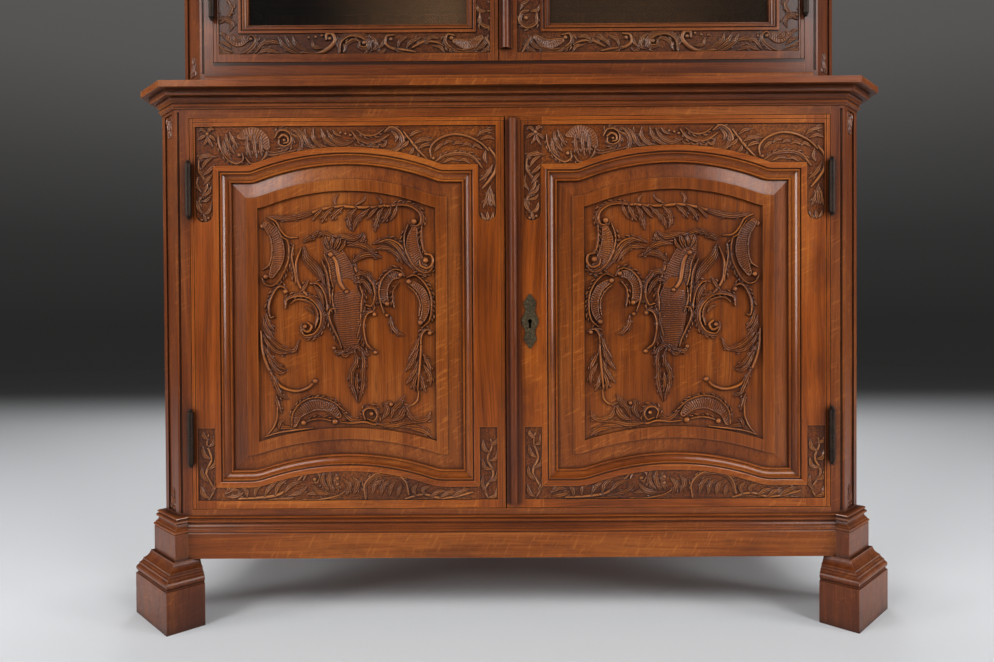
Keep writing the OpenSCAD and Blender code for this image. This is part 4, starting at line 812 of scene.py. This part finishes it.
def read_lines(table):
    """Strokes from the rows of a table, each with its kind, three half widths, height and points."""
    lines = []
    for row in table.strip().splitlines():
        kind, *numbers = row.split()
        numbers = [float(n) for n in numbers]
        # coordinates come in pairs, so an odd row leaves out the width at the end
        sizes = {"s": 0, "o": 2}.get(kind, 4 - len(numbers) % 2)
        if sizes:
            widths = numbers[:sizes - 1]
            end = widths[2] if len(widths) == 3 else widths[0]
            cut = (kind, [widths[0], widths[len(widths) // 2], end], numbers[sizes - 1])
        lines.append((*cut, np.array(numbers[sizes:]).reshape(-1, 2)))
    return lines


def place(lines, dx, dz, tall, sx=1.0, mirror=False):
    """The strokes moved, raised, narrowed or mirrored. A mirrored scroll is scooped on the other side."""
    swap = {"c": "d", "d": "c"} if mirror else {}
    side = -sx if mirror else sx
    out = []
    for kind, widths, high, points in lines:
        wide = [w * FATTER for w in widths]
        out.append((swap.get(kind, kind), wide, high * tall, points * (side, 1) + (dx, dz)))
    return out


def through(points):
    """Smooth line through the points, and how far along it each of its own points lies."""
    p = np.vstack([2 * points[0] - points[1], points, 2 * points[-1] - points[-2]])
    parts = []
    for a, b, c, d in zip(p[:-3], p[1:-2], p[2:-1], p[3:]):
        n = max(2, int(np.linalg.norm(c - b) / LINE_STEP))
        t = np.linspace(0, 1, n, endpoint=False)[:, None]
        square = 2 * a - 5 * b + 4 * c - d
        cube = 3 * b - a - 3 * c + d
        parts.append(0.5 * (2 * b + (c - a) * t + square * t**2 + cube * t**3))
    line = np.vstack(parts + [points[-1:]])
    run = np.concatenate([[0], np.cumsum(np.linalg.norm(np.diff(line, axis=0), axis=1))])
    return line, run


def ramp(value, low, high):
    t = np.clip((value - low) / (high - low), 0, 1)
    return t * t * (3 - 2 * t)


def width_at(widths, s):
    """Half width at the share s of a stroke's length, on the curve through its start, middle and end."""
    start, middle, end = widths
    return start * (1 - s) * (1 - 2 * s) + 4 * middle * s * (1 - s) + end * s * (2 * s - 1)


def small_leaves(kind, widths, high, line, run):
    """Leaves that curl off one stroke, one after another."""
    leafy = kind == "l"
    heading = np.gradient(line, axis=0)
    heading /= np.linalg.norm(heading, axis=1)[:, None] + 1e-9
    left = np.stack([-heading[:, 1], heading[:, 0]], 1)
    bend = np.sign(np.cross(line[-1] - line[0], line[len(line) // 2] - line[0])) or 1.0
    sides = (1, -1) if leafy else (bend,)
    step = LOBE_STEP * (1.5 if leafy else 1.0)
    count = int(run[-1] * 0.8 / step)
    leaves = []
    for i in range(count):
        at = run[-1] * (0.06 + 0.78 * (i + 0.5) / count)
        k = int(np.searchsorted(run, at))
        wide = width_at(widths, at / run[-1])
        size = (0.9 if leafy else 1.1) * (0.8 + 0.2 * math.sin(2.4 * i))
        for side in sides:
            out, on = left[k] * side, heading[k]
            root = line[k] + out * wide * 0.45
            belly = root + out * 3.6 * size + on * 3.4 * size
            tip = root + out * 4.6 * size + on * 10.0 * size
            leaves.append(("l", [1.2, 2.5 * size, 0.8], high * 0.8, np.array([root, belly, tip])))
    return leaves


def fringe(lines):
    """Small leaves on the outer side of each long scroll, and lobes on both sides of each long leaf."""
    leaves = []
    for kind, widths, high, points in lines:
        if kind in "ro" or len(points) < 3:
            continue
        line, run = through(points)
        if run[-1] >= FRINGED[kind]:
            leaves += small_leaves(kind, widths, high, line, run)
    return leaves + lines


def nearest(line, spot):
    """For each spot, the number of the line's nearest point, and the square of its distance."""
    near = np.empty(len(spot), int)
    square = np.empty(len(spot))
    for j in range(0, len(spot), BATCH):
        gap = ((spot[j:j + BATCH, None, :] - line[None]) ** 2).sum(2)
        near[j:j + BATCH] = gap.argmin(1)
        square[j:j + BATCH] = gap.min(1)
    return near, square


def left_of(line, near, spot):
    """More than 0 for the spots to the left of the line, and 0 for all if it is a single point."""
    if len(line) == 1:
        return np.zeros(len(spot))
    heading = np.gradient(line, axis=0)[near]
    off = spot - line[near]
    return heading[:, 0] * off[:, 1] - heading[:, 1] * off[:, 0]


def stroke_shape(kind, u, w, left, along, share):
    """Height from 0 to 1 of a stroke w wide to each side, at u times w from its line."""
    v = np.clip(np.where(left > 0, u, -u), -1, 1)
    q = (v + 1) / 2 if kind != "d" else (1 - v) / 2
    flutes = np.maximum(1, np.round(2 * w / FLUTE))
    ridge = 0.5 - 0.5 * np.cos(2 * math.pi * flutes * q)
    inside = np.clip(1 - u * u, 0, 1)
    if kind in "ro":
        return np.sqrt(inside)
    if kind == "l":
        body = 0.58 + 0.42 * np.sin(math.pi * np.clip(share * 0.9 + 0.1, 0, 1))
        return inside**0.4 * body * (0.42 + 0.58 * ridge)
    if kind in "cd":
        scoop = (0.40 + 0.60 * q**1.3) * (0.45 + 0.55 * ridge) * (1 - u**8).clip(0) ** 0.5
        return np.maximum(scoop, np.exp(-(((q - 0.86) * w / (0.16 * FLUTE * 2)) ** 2)) * (u < 1))
    rim = ramp(u * w, w - 2.4, w - 1.4)
    ribs = 0.5 + 0.5 * np.cos(2 * math.pi * along / RIB + 1.3 * np.sin(v * 3))
    return ((0.32 + 0.42 * ribs) * (1 - rim) + rim) * (1 - u**10).clip(0) ** 0.5


def cut_stroke(field, crest, xs, zs, kind, widths, high, points):
    """Raises one stroke in the field of heights, with a fine groove round it where it crosses others."""
    line, run = (points, np.zeros(1)) if kind == "o" else through(points)
    s = run / run[-1] if len(run) > 1 else run
    half = np.maximum(width_at(widths, s), 0.5)
    reach = half.max() + 2
    lo, hi = line.min(0) - reach, line.max(0) + reach
    i0, i1 = np.searchsorted(xs, (lo[0], hi[0]))
    k0, k1 = np.searchsorted(zs, (lo[1], hi[1]))
    if i1 - i0 < 2 or k1 - k0 < 2:
        return
    window = (slice(i0, i1), slice(k0, k1))
    gx, gz = np.meshgrid(xs[i0:i1], zs[k0:k1], indexing="ij")
    spot = np.stack([gx.ravel(), gz.ravel()], 1)
    near, square = nearest(line, spot)
    w = half[near]
    u = np.sqrt(square) / w
    shape = stroke_shape(kind, u, w, left_of(line, near, spot), run[near], s[near]) * (u < 1)
    shape, u, w = (part.reshape(gx.shape) for part in (shape, u, w))
    new = high * shape
    rim = 1 - 0.55 * np.exp(-(((u - 1) * w / 0.9) ** 2))
    keep = 0.5 if kind in "ol" else 0.8
    kept = field[window] * keep * np.where(u > 0.8, rim, 1)
    top = crest[window]
    crest[window] = np.where(u < 1, np.where(new > kept, shape, top * keep), top * rim)
    field[window] = np.where(u < 1, np.maximum(new, kept), field[window] * rim)


def arch_z(u, z, half, rise, ease, side, out):
    """Height of the opening's curved edge at a distance u from its middle, moved out by out."""
    if rise == 0:
        return np.full_like(u, z + side * out)
    r = (half * half + rise * rise) / (2 * rise) - ease
    phi = math.asin(half / (r + ease))
    re, ra = ease - side * out, r + side * out
    curve = z + ease - np.sqrt(np.maximum(re * re - (half - u) ** 2, 0))
    crown = z + rise - r + np.sqrt(np.maximum(ra * ra - u * u, 0))
    return np.where(u >= half, z + side * out, np.where(u > ra * math.sin(phi), curve, crown))


def arches(gx, d, out):
    """Heights of the opening's upper and lower edge above each point, both moved out by out."""
    u = np.abs(gx - sum(d["hole"]) / 2)
    over = arch_z(u, d["foot"] + d["high"] - d["top"], d["half"], d["rise"], EASE, 1, out)
    under = arch_z(u, d["foot"] + d["bottom"], d["half"], d["sag"], LOW_EASE, -1, out)
    return over, under


def frame_ground(gx, gz, d):
    """How far a point lies inside the sunk ground of a door frame, in millimetres."""
    lip = d["stick"] + LIP
    over, under = arches(gx, d, lip)
    top_end = d["foot"] + d["high"]
    sides = np.minimum(gx - d["ground"][0], d["ground"][1] - gx)
    past = np.maximum(d["hole"][0] - lip - gx, gx - d["hole"][1] - lip)
    tops = np.minimum(np.minimum(sides, top_end - END_EDGE - gz), np.maximum(past, gz - over))
    feet = np.minimum(np.minimum(sides, gz - d["foot"] - END_EDGE), np.maximum(past, under - gz))
    left = gx < sum(d["hole"]) / 2
    near = np.where(left, d["ground"][0], d["hole"][1] + lip)
    far = np.where(left, d["hole"][0] - lip, d["ground"][1])
    wide, centre = (far - near) / 2, (far + near) / 2
    turn = top_end - d["tail"] + wide
    tops = np.minimum(tops, np.where(gz < turn, wide - np.hypot(gx - centre, gz - turn), math.inf))
    end = d["foot"] + d["heel"]
    if d["heel_round"]:
        round_end = wide - np.hypot(gx - centre, gz - end + wide)
        feet = np.minimum(feet, np.where(gz > end - wide, round_end, math.inf))
    else:
        feet = np.minimum(feet, end - gz)
    return np.maximum(tops, feet)


def panel_ground(gx, gz, d):
    """How far a point lies inside the sunk ground of a raised panel, in millimetres."""
    over, under = arches(gx, d, -PANEL_EDGE)
    u = np.abs(gx - sum(d["hole"]) / 2)
    sides = (d["hole"][1] - d["hole"][0]) / 2 - PANEL_EDGE - u
    return np.minimum(sides, np.minimum(over - gz, gz - under))


def tool_marks(gx, gz):
    """Small marks of the tools, always the same."""
    return 0.10 * np.sin(gx * 1.9 + 2 * np.sin(gz * 0.6)) * np.sin(gz * 1.7 + gx * 0.3)


def raised_faces(up):
    """Which points of the grid the sheet uses, and its faces: every square with a raised corner."""
    quad = up[:-1, :-1] | up[1:, :-1] | up[:-1, 1:] | up[1:, 1:]
    used = np.zeros(up.shape, bool)
    for a in (0, 1):
        for b in (0, 1):
            used[a:a + quad.shape[0], b:b + quad.shape[1]] |= quad
    index = -np.ones(up.shape, int)
    index[used] = np.arange(used.sum())
    i, k = np.nonzero(quad)
    return used, np.stack([index[i, k], index[i + 1, k], index[i + 1, k + 1], index[i, k + 1]], 1)


def add_sheet(name, verts, faces, crest, material):
    mesh = bpy.data.meshes.new(name)
    mesh.from_pydata(verts.tolist(), [], faces.tolist())
    relief = mesh.attributes.new("relief", "FLOAT", "POINT")
    relief.data.foreach_set("value", np.clip(crest, 0, 1).astype(np.float32))
    mesh.shade_smooth()
    mesh.materials.append(material)
    piece = bpy.data.objects.new(name, mesh)
    bpy.context.scene.collection.objects.link(piece)
    return piece


def carve(name, body, d, lines, ground, depth, pitch, material, turn=None):
    """Relief on a sunk ground: one sheet whose edges dip into the wood. turn puts it on another face."""
    lo = np.min([line[3].min(0) for line in lines], axis=0) - SHEET_MARGIN
    hi = np.max([line[3].max(0) for line in lines], axis=0) + SHEET_MARGIN
    xs = np.arange(lo[0], hi[0], pitch)
    zs = np.arange(lo[1], hi[1], pitch)
    field = np.zeros((len(xs), len(zs)))
    crest = np.zeros_like(field)
    for line in lines:
        cut_stroke(field, crest, xs, zs, *line)
    gx, gz = np.meshgrid(xs, zs, indexing="ij")
    if ground:
        field *= ramp(ground(gx, gz, d), 0.0, 1.6)
    field += np.where(field > 0.4, tool_marks(gx, gz), 0)
    up = field > LOWEST_RAISED
    used, faces = raised_faces(up)
    y = np.where(up, depth - field, depth + DIP)
    verts = np.stack([gx[used] / 1000, y[used] / 1000 + d["front"], gz[used] / 1000], 1)
    piece = add_sheet(name, turn(verts) if turn else verts, faces, crest[used], material)
    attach(piece, body)


def vine(x0, x1, z0, z1):
    """A winding stem with leaves in each bend, for the stiles above the picture's edge."""
    mid, wide = (x0 + x1) / 2, (x1 - x0) / 2
    bends = max(2, int(round((z1 - z0) / 26)))
    sway = (-0.34 * wide, 0.34 * wide)
    stem = [(mid + sway[i % 2], z0 + (z1 - z0) * i / bends) for i in range(bends + 1)]
    lines = [("r", [1.2, 1.6, 0.9], 2.6, np.array(stem))]
    for i in range(bends):
        side = 1 if i % 2 else -1
        x, z = stem[i]
        tip = mid + side * 0.74 * wide
        outer = [(x, z), (tip, z + 6), (tip - side * 2, z + 22)]
        inner = [(x, z + 4), (mid - side * 0.2 * wide, z + 13), (mid - side * 0.75 * wide, z + 17)]
        lines.append(("l", [1.0, 3.2, 0.8], 2.7, np.array(outer)))
        lines.append(("l", [1.0, 2.4, 0.8], 2.4, np.array(inner)))
    return lines


def add_lower_carvings(crown, foot, panel, frame_wood, panel_wood):
    for name, d in LOWER_DOORS.items():
        door = name + "_door"
        lines = fringe(place(crown + foot, d["mid"], d["foot"], 1.35))
        carve(name + "_frame_carving", door, d, lines, frame_ground, FRAME_SUNK, FRAME_PITCH, frame_wood)
        lines = fringe(place(panel, d["mid"], d["foot"], 1.2, mirror=d["mid"] > 0))
        carve(name + "_panel_carving", door, d, lines, panel_ground, PANEL_SUNK, PANEL_PITCH, panel_wood)


def add_upper_carvings(crown, sill, wood):
    for name, d in UPPER_DOORS.items():
        right, foot = d["mid"] > 0, d["foot"]
        lines = place(sill, d["mid"], foot, 1.4, mirror=right)
        top = foot + d["high"] - LOW_DOOR["high"]
        lines += place(crown, d["mid"], top, 1.4, sx=UPPER_CROWN_WIDTH, mirror=right)
        lip = d["stick"] + LIP
        for x0, x1 in ((d["ground"][0], d["hole"][0] - lip), (d["hole"][1] + lip, d["ground"][1])):
            for low, high in ((126, 290), (784, 890)):
                lines += vine(x0, x1, foot + low, foot + high)
        lines = fringe(lines)
        carve(name + "_frame_carving", name + "_door", d, lines, frame_ground, FRAME_SUNK, FRAME_PITCH, wood)


# A bellflower that ends the sunk face of each canted corner, from its own middle and foot
FLOWER_LINES = """
o 3.6 2.6 0 4
l 1.6 4.6 1 2.7 0 6 0.4 18 0 32
l 1.4 3.8 0.9 2.5 2 6 8 15 10 27
s -2 6 -8 15 -10 27
c 1.6 2.4 1.2 2.3 3 3 10 1 13 8 9 12
d 1.6 2.4 1.2 2.3 -3 3 -10 1 -13 8 -9 12
l 1 2.4 0.7 2.2 3 26 5 34 4 41
s -3 26 -5 34 -4 41
o 2 2 0 39
"""
# Half width of each case, its canted corner, its front plane, and the ends of the sunk face
CORNERS = {"lower": (690, 46, FRONT_LOW, 212, 986), "upper": (665, 53, FRONT_UP, 1074, 2227)}
FLOWER_FROM_END = 3


def corner_turn(side, half, cant, front):
    """Takes a sheet drawn on a front face to the canted corner on side 1, the right, or -1, the left."""
    slope = math.sqrt(0.5)

    def turn(points):
        across, depth, z = points.T
        x = (half - cant / 2) / 1000 + (across - depth) * slope
        y = cant / 2000 + (across + depth) * slope + front
        return np.stack([x * side, y, z], 1)

    return turn


def add_flowers(wood):
    petals = read_lines(FLOWER_LINES)
    flat = {"front": 0}
    for level, (half, cant, front, low, high) in CORNERS.items():
        for side_name, side in (("left", -1), ("right", 1)):
            turn = corner_turn(side, half, cant, front)
            for end, z, way in (("foot", low + FLOWER_FROM_END, 1), ("head", high - FLOWER_FROM_END, -1)):
                lines = [(*petal[:3], petal[3] * (1, way) + (0, z)) for petal in petals]
                name = f"{level}_{side_name}_post_{end}_flower"
                carve(name, "case", flat, lines, None, POST_SUNK, POST_PITCH, wood, turn)


# The studio: colours of its floor, of the painted shade on the floor far off, and of its wall, and the wall's
# grey by how high it is seen above the horizon
FLOOR_COLOUR = (0.64, 0.658, 0.68)
FLOOR_FAR_SHADE = (0.1, 0.1, 0.1)
DUSK = ((-0.06, 0.021), (0, 0.02), (0.11, 0.03), (0.2, 0.05), (0.32, 0.088), (0.42, 0.1))
HORIZON = 0.1
SOFT_LIGHT = 0.15

# Lamps: place, aim, width and height in metres, watts, and spread in degrees
LAMPS = {
    "high left": ((-2.4, -2.8, 2.95), (0, 0, 0.6), (1.6, 1.6), 88, 180),
    "high right": ((2.4, -2.8, 2.95), (0, 0, 0.6), (1.6, 1.6), 80, 180),
    "low left": ((-5, -2.4, 1.5), (0, 0, 0.6), (1.6, 2), 33, 75),
    "low right": ((5, -2.4, 1.5), (0, 0, 0.6), (1.6, 2), 33, 75),
    "back": ((0, 2.8, 3.4), (0, 0, 1.2), (3, 1.2), 90, 180),
}


def floor_mesh(radius=9.0, rings=6, spokes=48):
    verts = [(0, 0, 0)]
    for r in range(1, rings + 1):
        for k in range(spokes):
            a = 2 * math.pi * k / spokes
            verts.append((radius * r / rings * math.cos(a), radius * r / rings * math.sin(a), 0))
    faces = [(0, 1 + k, 1 + (k + 1) % spokes) for k in range(spokes)]
    for r in range(rings - 1):
        a, b = 1 + r * spokes, 1 + (r + 1) * spokes
        faces += [(a + k, b + k, b + (k + 1) % spokes, a + (k + 1) % spokes) for k in range(spokes)]
    mesh = bpy.data.meshes.new("floor")
    mesh.from_pydata(verts, [], faces)
    return mesh


def floor_material():
    """Pale, with painted shade that darkens it behind the cabinet and towards the rim."""
    t = Tree(bpy.data.materials.new("floor"))
    x, y, z = t.split(t.add("TexCoord").outputs["Object"])
    flat = t.add("CombineXYZ", {0: x, 1: y}).outputs[0]
    far = t.add("VectorMath", {0: flat}, operation="LENGTH").outputs["Value"]
    # Painted shade: the floor darkens behind the cabinet and towards the rim
    far_shade = t.math("MAXIMUM", t.step(y, 2.2, 4.6), t.step(far, 5.5, 8.5))
    colour = t.mix(far_shade, FLOOR_COLOUR, FLOOR_FAR_SHADE)
    t.paint({"Base Color": colour, "Roughness": 0.7, "Specular IOR Level": 0.2})
    return t.owner


def add_floor():
    mesh = floor_mesh()
    mesh.materials.append(floor_material())
    floor = bpy.data.objects.new("floor", mesh)
    bpy.context.scene.collection.objects.link(floor)


def add_world():
    """Dark grey studio to the eye and in the glass, with a low even light of its own."""
    world = bpy.data.worlds.new("studio")
    bpy.context.scene.world = world
    t = Tree(world)
    soft = t.nodes["Background"]
    soft.inputs["Color"].default_value = (1, 1, 1, 1)
    soft.inputs["Strength"].default_value = SOFT_LIGHT
    height = t.split(t.add("TexCoord").outputs["Generated"])[2]
    wall = t.add("ValToRGB", {0: t.plus(height, HORIZON)})
    stops = wall.color_ramp.elements
    while len(stops) < len(DUSK):
        stops.new(0.5)
    for stop, (rise, grey) in zip(stops, DUSK):
        stop.position = rise + HORIZON
        stop.color = (grey * 1.03, grey, grey * 0.98, 1)
    seen = t.add("Background", {"Color": wall.outputs[0]}).outputs[0]
    path = t.add("LightPath").outputs
    looked_at = t.math("MAXIMUM", path["Is Camera Ray"], path["Is Transmission Ray"])
    looked_at = t.math("MAXIMUM", looked_at, path["Is Glossy Ray"])
    blend = t.add("MixShader", {0: looked_at, 1: soft.outputs[0], 2: seen}).outputs[0]
    t.set(t.nodes["World Output"].inputs["Surface"], blend)


def add_lamps():
    for name, (place_at, aim, size, power, spread) in LAMPS.items():
        data = bpy.data.lights.new(name, "AREA")
        data.shape = "RECTANGLE"
        data.size, data.size_y = size
        data.energy = power
        data.spread = math.radians(spread)
        lamp = bpy.data.objects.new(name, data)
        lamp.location = place_at
        lamp.rotation_euler = (Vector(aim) - Vector(place_at)).to_track_quat("-Z", "Y").to_euler()
        bpy.context.scene.collection.objects.link(lamp)


add_camera()
dress_doors()
dress_case()
dress_metal()
crown = read_lines(CROWN_LINES)
# Woods of the carvings: the last argument sets how dark the painted shade in the dips of the relief is
add_lower_carvings(crown, read_lines(FOOT_LINES), read_lines(PANEL_LINES),
                   oak("oak_frame_carving", "x", 4.1, CARVED, carved=0.8),
                   oak("oak_panel_carving", "z", 2.9, PANEL, carved=0.4))
add_upper_carvings(crown, read_lines(SILL_LINES), oak("oak_upper_carving", "x", 9.2, CARVED_UP, carved=0.85))
add_flowers(oak("oak_post_carving", "z", 12, POST, carved=0.7))
add_floor()
add_world()
add_lamps()
bpy.context.scene.view_settings.view_transform = "Standard"
